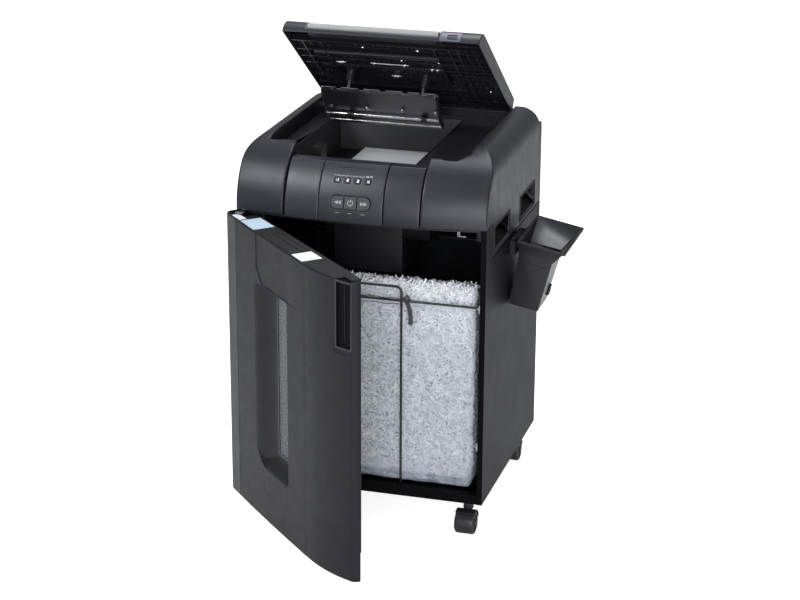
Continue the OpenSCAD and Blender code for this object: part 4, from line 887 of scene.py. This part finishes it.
# ------------------------------------------------------------------ bag and shreds
BAG_LOW, BAG_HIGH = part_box("shred_bag")
BAG_X = (BAG_LOW.x / MM, BAG_HIGH.x / MM)
BAG_D = ((BAG_LOW.y - FRONT_Y) / MM, (BAG_HIGH.y - FRONT_Y) / MM)
BAG_H = ((BAG_LOW.z - BASE_Z) / MM, (BAG_HIGH.z - BASE_Z) / MM)
BAG_CORNER = 26.0
CREST_D, CREST_H = 48.0, (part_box("shred_fill")[1].z - BASE_Z) / MM
FALL = 0.36
HEM_H = BAG_H[1] - 7.0


def heap(d):
    """Height of the shreds at a depth: a crest at the front, falling away behind it."""
    if d < CREST_D:
        return CREST_H - 14.0 * (1.0 - (d - BAG_D[0]) / (CREST_D - BAG_D[0])) ** 2
    return CREST_H - FALL * (d - CREST_D)


def keep_inside(p):
    """Moves a point of a strip back inside the bag's rounded walls."""
    x, d, h = p.x / MM, (p.y - FRONT_Y) / MM, (p.z - BASE_Z) / MM
    r, skin = BAG_CORNER, 4.2
    x = max(BAG_X[0] + skin, min(BAG_X[1] - skin, x))
    d = max(BAG_D[0] + skin, min(BAG_D[1] - skin, d))
    for cx, side in ((BAG_X[0] + r, -1), (BAG_X[1] - r, 1)):
        for cd, end in ((BAG_D[0] + r, -1), (BAG_D[1] - r, 1)):
            dx, dd = x - cx, d - cd
            far = math.hypot(dx, dd)
            if dx * side > 0 and dd * end > 0 and far > r - skin:
                x, d = cx + dx * (r - skin) / far, cd + dd * (r - skin) / far
    foot = BAG_H[0] + 12.0 + 22.0 * smoothstep(28.0, 0.0, BAG_X[1] - x)
    return at(x, d, max(foot, h))


def add_strip(verts, faces, centre, along, across, rng):
    """One paper strip, bent along its length and twisted a little."""
    length, width = rng.uniform(8.0, 26.0), rng.uniform(2.2, 3.4)
    out = along.cross(across)
    curl, twist = rng.uniform(-0.35, 0.35), rng.uniform(-0.6, 0.6)
    first = len(verts)
    parts = 4
    for i in range(parts + 1):
        t = i / parts - 0.5
        turn = twist * t
        side = across * math.cos(turn) + out * math.sin(turn)
        middle = centre + (along * (length * t) + out * (curl * length * (t * t - 0.08) * 2.0)) * MM
        verts.append(keep_inside(middle + side * (width / 2 * MM)))
        verts.append(keep_inside(middle - side * (width / 2 * MM)))
    for i in range(parts):
        a = first + 2 * i
        faces.append((a, a + 1, a + 3, a + 2))


def strip_frame(normal, lean, rng):
    """Two directions roughly in the plane of a normal, at any angle, leaning by chance."""
    normal = (normal + Vector(rng.gauss(0, lean) for _ in range(3))).normalized()
    any_way = normal.orthogonal().normalized()
    turn = rng.uniform(0, 2 * math.pi)
    along = any_way * math.cos(turn) + normal.cross(any_way) * math.sin(turn)
    return along, normal.cross(along)


# how many strips lie at the front, on the crest, over the top and down each side
FRONT_STRIPS, CREST_STRIPS, TOP_STRIPS, SIDE_STRIPS = 13000, 2200, 4200, 1300


def shreds():
    """Thousands of loose strips over the front, the crest, the sides and the falling top."""
    rng = random.Random(11)
    verts, faces = [], []
    x0, x1 = BAG_X[0] + 5, BAG_X[1] - 5

    def scatter(count, place, normal, lean):
        for _ in range(count):
            spot = place()
            along, across = strip_frame(normal, lean, rng)
            add_strip(verts, faces, spot, along, across, rng)

    scatter(FRONT_STRIPS, lambda: at(rng.uniform(x0, x1), rng.uniform(35.5, 41.0), rng.uniform(44, 464)),
            Vector((0, -1, 0)), 0.12)
    scatter(CREST_STRIPS, lambda: at(rng.uniform(x0, x1), rng.uniform(37, 47), rng.uniform(442, CREST_H - 4)),
            Vector((0, -0.7, 0.7)), 0.4)

    def on_top():
        d = CREST_D + (BAG_D[1] - 16 - CREST_D) * rng.random() ** 1.4
        return at(rng.uniform(x0, x1), d, heap(d) + rng.uniform(-4.0, 0.0))

    scatter(TOP_STRIPS, on_top, Vector((0, FALL, 1)).normalized(), 0.30)
    for side in (-1, 1):
        x = x1 if side > 0 else x0

        def on_side():
            d = rng.uniform(45, BAG_D[1] - 14)
            return at(x + rng.uniform(-3, 2), d, rng.uniform(40, heap(d) - 4))

        scatter(SIDE_STRIPS, on_side, Vector((side, 0, 0)), 0.12)
    mesh = bpy.data.meshes.new("shreds")
    mesh.from_pydata([tuple(v) for v in verts], [], faces)
    bm = bmesh.new()
    bm.from_mesh(mesh)
    bpy.data.meshes.remove(mesh)
    return finish_piece("shreds", bm, "shreds", "cabinet", smooth=0, as_made=True)


def packed_shreds_painted_shade():
    """The dense mass behind the loose strips, with a lumpy surface, coloured as a darker copy of the shreds'
    paper for painted shade.
    """
    bm = bmesh.new()
    across, deep = 60, 50
    x0, x1 = BAG_X[0] + 12, BAG_X[1] - 12
    d0, d1 = 41.0, BAG_D[1] - 14
    h0 = BAG_H[0] + 8
    tops, feet = {}, {}
    for i in range(across + 1):
        x = x0 + (x1 - x0) * i / across
        for k in range(deep + 1):
            d = d0 + (d1 - d0) * (k / deep) ** 1.3
            lump = noise.noise(Vector((x, d, 3.0)) * 0.03) * 5.0
            tops[i, k] = bm.verts.new(at(x, d, heap(max(d, CREST_D)) - 8.0 + min(2.0, lump)))
            if i in (0, across) or k in (0, deep):
                feet[i, k] = bm.verts.new(at(x, d, h0))
    quads(bm, [[tops[i, k] for i in range(across + 1)] for k in range(deep + 1)])
    ring = [(i, 0) for i in range(across)] + [(across, k) for k in range(deep)]
    ring += [(i, deep) for i in range(across, 0, -1)] + [(0, k) for k in range(deep, 0, -1)]
    quads(bm, [[level[a] for a in ring[::-1]] for level in (tops, feet)], wrap=True)
    bm.faces.new([feet[a] for a in ring])
    piece = finish_piece("packed_shreds_painted_shade", bm, "fill", "cabinet", "shred_fill", smooth=60)
    return piece


def rounded_loop(x0, x1, d0, d1, r, step):
    """Points round a rectangle with rounded corners, and the way out at each."""
    points = []
    for cx, cd, a0 in ((x1 - r, d0 + r, -90), (x1 - r, d1 - r, 0), (x0 + r, d1 - r, 90), (x0 + r, d0 + r, 180)):
        for i in range(9):
            a = math.radians(a0 + i * 90 / 8)
            points.append((cx + r * math.cos(a), cd + r * math.sin(a), math.cos(a), math.sin(a)))
    out = []
    for i, p in enumerate(points):
        q = points[(i + 1) % len(points)]
        gap = math.hypot(q[0] - p[0], q[1] - p[1])
        parts = max(1, round(gap / step))
        for k in range(parts):
            t = k / parts
            out.append(tuple(p[j] + (q[j] - p[j]) * t for j in range(4)))
    return out


def crease(x, y, scale, seed):
    """A field of sharp folds, 0 to 1, with long straight ridges."""
    a = noise.noise(Vector((x * scale, y * scale * 0.45, seed)))
    b = noise.noise(Vector((x * scale * 1.9 + 7.0, y * scale * 1.7, seed + 5.0)))
    return 0.65 * (1 - abs(a)) ** 3 + 0.35 * (1 - abs(b)) ** 4


def bag():
    """The clear bag: one sagging shell that presses on the shreds, gathered at its hem."""
    bm = bmesh.new()
    loop = rounded_loop(BAG_X[0], BAG_X[1], BAG_D[0], BAG_D[1], BAG_CORNER, 5.0)
    heights = [BAG_H[0] + 1 + k * 3.0 for k in range(12)]
    heights += [BAG_H[0] + 34 + (HEM_H - 22 - BAG_H[0] - 34) * k / 66 for k in range(1, 67)]
    heights += [HEM_H - 22 + k * 2.2 for k in range(1, 14)]
    run = 0.0
    rows = [[] for _ in heights]
    for n, (x, d, ox, od) in enumerate(loop):
        q = loop[(n + 1) % len(loop)]
        for k, h in enumerate(heights):
            low = max(0.0, 1.0 - (h - BAG_H[0]) / 40.0)
            inward = 3.2 * (1.0 - crease(run, h, 0.022, 1.0))
            inward += low ** 3 * 9.0 + 3.4 * low * crease(h * 6.0, run * 0.3, 0.03, 9.0)
            gather = max(0.0, 1.0 - abs(h - HEM_H) / 26.0)
            inward += gather * 1.6 * (0.5 + 0.5 * math.sin(run * 0.33 + 2.0 * math.sin(run * 0.05)))
            tuck = abs(math.sin(run * 0.02 + h * 0.013)) ** 6 * 1.2
            inward = max(0.15, inward + tuck)
            slump = smoothstep(90.0, 0.0, h - BAG_H[0]) * smoothstep(-0.1, 0.9, -od)
            ahead = slump * (11.0 - 5.0 * crease(run * 0.4, h * 3.0, 0.03, 4.0))
            rows[k].append(bm.verts.new(at(x - ox * inward, d - od * inward - ahead, h - 7.0 * slump)))
        run += math.hypot(q[0] - x, q[1] - d)
    quads(bm, rows, wrap=True)
    centre = bm.verts.new(at((BAG_X[0] + BAG_X[1]) / 2, (BAG_D[0] + BAG_D[1]) / 2, BAG_H[0] + 0.6))
    for n in range(len(loop)):
        bm.faces.new((rows[0][(n + 1) % len(loop)], rows[0][n], centre))
    piece = finish_piece("clear_bag", bm, "film", "cabinet", "shred_bag", smooth=0)
    # painted shade: the film more than 120 mm back from the front gets the darker, fainter copy
    tag(piece, "film_back_shade", lambda face: face.center.y > FRONT_Y + 120.0 * MM)
    return piece


def bag_ties():
    """The seams of the hem, the drawn tape along its right half, and its knot and tail."""
    seams = bmesh.new()
    start = BAG_X[0] + 4
    for h, r in ((HEM_H + 1.0, 0.9), (HEM_H - 12.0, 0.7)):
        tube_into(seams, [at(start + (86.0 - start) * k / 59, BAG_D[0] - 0.2, h + 0.8 * math.sin(k * 0.7))
                          for k in range(60)], r, 6)
    finish_piece("bag_seams", seams, "tape", "cabinet", smooth=60)
    tape = bmesh.new()
    tube_into(tape, [at(90.0 + (BAG_X[1] - 1.0 - 90.0) * k / 79, BAG_D[0] - 0.6,
                        HEM_H - 1.5 + 1.6 * math.sin(k * 0.31) - 2.0 * (k / 79)) for k in range(80)], 1.1, 8)
    finish_piece("bag_tape", tape, "tape_pale", "cabinet", smooth=60)
    knot = bmesh.new()
    tube_into(knot, [at(93 + 5.5 * math.cos(a) + 1.5 * math.cos(3 * a), BAG_D[0] - 2.2 + 1.2 * math.sin(2 * a),
                        HEM_H + 1 + 6.0 * math.sin(a) + 1.5 * math.sin(2 * a)) for a in round_angles(40)],
              2.8, 8, closed=True)
    tail = [at(94 + 7.0 * math.sin(t * 2.4) + 3.0 * t, BAG_D[0] - 1.8 + 0.6 * math.sin(t * 9),
               HEM_H - 4 - 50 * t) for t in (k / 24 for k in range(25))]
    for a, b in zip(tail, tail[1:]):
        w = 4.4 * MM
        box_into(knot, Vector((min(a.x, b.x) - w, a.y - 0.5 * MM, b.z)),
                 Vector((max(a.x, b.x) + w, a.y + 0.5 * MM, a.z + 0.2 * MM)))
    finish_piece("bag_knot", knot, "tape", "cabinet", smooth=60)


def catch_bits():
    """The door switch under the head and the bright ends of its two catches."""
    box_piece("door_switch_arm", [(at(193, 58, 575), at(199, 66, 603.4)), (at(193, 58, 572), at(212, 66, 575))],
              "steel", "cabinet", edge=0.6)
    bm = bmesh.new()
    for h in (131, 437):
        rod_into(bm, at(252.5, 9, h), at(255.5, 9, h), 5.0, 24, 6.5)
        rod_into(bm, at(250.5, 9, h), at(252.8, 9, h), 2.4, 16)
    finish_piece("catch_faces", bm, "chrome", "cabinet", edge=0.4)


# ------------------------------------------------------------------ casters
def wheel_pair(name):
    """The middle of a caster's wheels in metres, their radius and half their width in millimetres."""
    lo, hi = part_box("wheels_" + name)
    return (lo + hi) / 2, (hi.z - lo.z) / 2 / MM, (hi.x - lo.x) / 2 / MM


def caster_wheels():
    """Twin wheels with a rounded tread and a dished hub."""
    for name in CASTERS:
        node = "wheels_" + name
        mid, radius, half = wheel_pair(name)
        bm = bmesh.new()
        profile = [(4.2, 4.1), (4.2, radius - 6), (5.2, radius - 2.4), (6.6, radius - 0.6), (8.4, radius),
                   (half - 4.4, radius), (half - 2.4, radius - 0.7), (half - 1.0, radius - 2.6),
                   (half - 0.4, radius - 5.0), (half - 1.0, radius - 6.4), (half - 3.2, radius - 7.2),
                   (half - 3.6, 10.0), (half - 1.0, 8.6), (half - 0.4, 7.0), (half - 0.3, 4.1)]
        for side in (-1, 1):
            rings = [[bm.verts.new(mid + Vector((side * along, r * math.cos(a), r * math.sin(a))) * MM)
                      for a in round_angles(56)] for along, r in profile]
            quads(bm, rings + rings[:1], wrap=True)
        finish_piece(node + "_skin", bm, "wheel", "roll_" + name, node, smooth=40)


def caster_caps():
    """Hub caps and the swivel's dust ring on each caster."""
    for name in CASTERS:
        mid, _, half = wheel_pair(name)
        bm = bmesh.new()
        for side in (-1, 1):
            a = mid + Vector((side * half * MM, 0, 0))
            rod_into(bm, a, a + Vector((side * 1.6 * MM, 0, 0)), 6.4, 32, 5.4)
        finish_piece("caster_cap_" + name, bm, "wheel", "swivel_" + name, edge=0.5)
        stem = Vector(joint("swivel_" + name)["pos_m"])
        bm = bmesh.new()
        ring_into(bm, Vector((stem.x, stem.y, BASE_Z - 3.4 * MM)), Vector((0, 0, 1)), 14, 11.1, 4)
        finish_piece("caster_ring_" + name, bm, "steel", "swivel_" + name, edge=0.5)


HOOD_FROM, HOOD_TO = -38.0, 100.0  # degrees up from straight ahead


def caster_hoods():
    """The curved guard over the front of each pair of wheels."""
    for name in CASTERS:
        mid, radius, half = wheel_pair(name)
        half -= 1.5
        bm = bmesh.new()
        layers = []
        for gap in (1.2, 2.8):
            rows = []
            for k in range(25):
                a = math.radians(HOOD_FROM + (HOOD_TO - HOOD_FROM) * k / 24)
                taper = 1.0 - 0.35 * smoothstep(-10.0, HOOD_FROM, math.degrees(a))
                rows.append([])
                for t in (n / 6 - 1.0 for n in range(13)):
                    r = radius + gap - 0.9 * t ** 6
                    spot = Vector((half * t * taper, -r * math.cos(a), r * math.sin(a)))
                    rows[-1].append(bm.verts.new(mid + spot * MM))
            layers.append(rows)
        inner, outer = layers
        quads(bm, outer)
        quads(bm, inner)
        for n in (0, -1):
            quads(bm, [[row[n] for row in inner], [row[n] for row in outer]])
            quads(bm, [inner[n], outer[n]])
        finish_piece("caster_hood_" + name, bm, "wheel", "swivel_" + name, smooth=40)


# ------------------------------------------------------------------ grips, bin and back
def grip_frames():
    """The raised rim round each hand grip."""
    for side, label in ((-1, "left"), (1, "right")):
        x0, x1 = sorted((side * (HALF_W - 1.0), side * (HALF_W + 1.4)))
        box_piece("grip_rims_" + label, [(at(x0, d + d0, h0), at(x1, d + d1, h1)) for d in (68, 301)
                  for d0, h0, d1, h1 in ((-4, 539, 136, 543), (-4, 595, 136, 598), (-4, 543, 0, 595),
                                         (132, 543, 136, 595))], "black", "cabinet", edge=0.9, steps=3)


BIN_FOOT, BIN_LEAN = (274.0, 0.0, 387.0), 11.0


def bin_details():
    """The catch on the bin's outer side and a step on its front, drawn square and then leaned outwards."""
    place = Matrix.Translation(at(*BIN_FOOT)) @ Matrix.Rotation(math.radians(BIN_LEAN), 4, "Y")
    catch = ((64.2, 262, 34, 69.4, 280, 40), (64.0, 262, 18, 68.6, 280, 24),
             (64.2, 262, 18, 69.0, 265, 40), (64.2, 277, 18, 69.0, 280, 40))
    for name, boxes, edge in (("catch", catch, 0.7), ("front_step", ((0, 199.2, 98, 66, 200.4, 100),), 0.4)):
        box_piece("bin_" + name, [(Vector(box[:3]) * MM, Vector(box[3:]) * MM) for box in boxes], "bin", "bin",
                  matrix=place, edge=edge)


def back_details():
    """Screw recesses and vent louvres on the back."""
    bm = bmesh.new()
    for x in (-240, 0, 240):
        for h in (30, 260, 500):
            ring_into(bm, at(x, 495.8, h), Vector((0, 1, 0)), 5.6, 3.6, 0.8, 28)
    finish_piece("screw_cups", bm, "steel", "cabinet", edge=0.2)
    box_piece("vent_louvres", [(at(-161, 488, h + 2.4), at(-19, 491, h + 8.4)) for h in range(629, 702, 9)],
              "black", "cabinet", edge=0.6)


# ------------------------------------------------------------------ room
def white_floor():
    bm = bmesh.new()
    bmesh.ops.create_grid(bm, x_segments=1, y_segments=1, size=30.0)
    mesh = bpy.data.meshes.new("floor")
    bm.to_mesh(mesh)
    bm.free()
    s = Shader("pale_floor")
    seen = s.node("LightPath").outputs["Is Camera Ray"]
    s.feed(Base_Color=grey(0.92), Roughness=0.9, Emission_Color=grey(1.0),
           Emission_Strength=s.sum_of(seen, 0.65, 0.2))
    mesh.materials.append(s.mat)
    obj = add_object("floor", mesh)


def pale_world():
    """White behind the object, a softer light on it."""
    world = bpy.data.worlds.new("studio")
    bpy.context.scene.world = world
    world.use_nodes = True
    nodes, links = world.node_tree.nodes, world.node_tree.links
    seen = nodes["Background"]
    seen.inputs["Color"].default_value = (1.0, 1.0, 1.0, 1.0)
    seen.inputs["Strength"].default_value = 1.0
    felt = nodes.new("ShaderNodeBackground")
    felt.inputs["Color"].default_value = (0.93, 0.96, 1.0, 1.0)
    felt.inputs["Strength"].default_value = 0.32
    path = nodes.new("ShaderNodeLightPath")
    mix = nodes.new("ShaderNodeMixShader")
    links.new(path.outputs["Is Camera Ray"], mix.inputs["Fac"])
    links.new(felt.outputs["Background"], mix.inputs[1])
    links.new(seen.outputs["Background"], mix.inputs[2])
    links.new(mix.outputs["Shader"], nodes["World Output"].inputs["Surface"])


def soft_light(name, place, aim, size, power, colour=(1.0, 1.0, 1.0)):
    data = bpy.data.lights.new(name, "AREA")
    data.shape = "DISK"
    data.size = size
    data.energy = power
    data.color = colour
    obj = add_object(name, data)
    obj.location = place
    obj.rotation_euler = (Vector(aim) - Vector(place)).to_track_quat("-Z", "Y").to_euler()


PALE_BLUE = (0.94, 0.955, 1.0)


def studio():
    bpy.context.scene.view_settings.view_transform = "Standard"
    white_floor()
    pale_world()
    middle = (0.0, 0.0, 0.55)
    soft_light("key", (-2.2, -2.6, 3.4), middle, 2.0, 110.0, PALE_BLUE)
    soft_light("top", (0.05, 0.95, 3.2), middle, 1.9, 60.0, PALE_BLUE)
    soft_light("front_fill", (0.9, -4.0, 1.5), middle, 1.8, 80.0, PALE_BLUE)
    soft_light("low_right", (1.7, -2.7, 0.35), (0.1, -0.1, 0.6), 0.7, 7.0, PALE_BLUE)


# ------------------------------------------------------------------ camera
CAMERA_PLACE = Vector((1.2751, -4.3658, 2.0098))
CAMERA_YAW = 0.280717
CAMERA_PITCH = 0.335036
CAMERA_ROLL = 0.00543
CAMERA_LENS = 98.56


def camera():
    data = bpy.data.cameras.new("view")
    data.lens = CAMERA_LENS
    data.sensor_width = 36.0
    data.clip_end = 100.0
    obj = add_object("view", data)
    ahead = Vector((-math.sin(CAMERA_YAW) * math.cos(CAMERA_PITCH),
                    math.cos(CAMERA_YAW) * math.cos(CAMERA_PITCH), -math.sin(CAMERA_PITCH)))
    level = Vector((math.cos(CAMERA_YAW), math.sin(CAMERA_YAW), 0.0))
    above = level.cross(ahead)
    right = level * math.cos(CAMERA_ROLL) + above * math.sin(CAMERA_ROLL)
    up = above * math.cos(CAMERA_ROLL) - level * math.sin(CAMERA_ROLL)
    turn = Matrix((right, up, -ahead)).transposed().to_4x4()
    obj.matrix_world = Matrix.Translation(CAMERA_PLACE) @ turn
    bpy.context.scene.camera = obj


# ------------------------------------------------------------------ build
dress_nodes()
door_front()
door_ledge()
window_frame()
control_marks()
lamp_lenses()
lid_ribs()
lid_beams()
lid_works()
pressure_details()
packed_shreds_painted_shade()
shreds()
bag()
bag_ties()
catch_bits()
caster_wheels()
caster_caps()
caster_hoods()
grip_frames()
bin_details()
back_details()
studio()
camera()
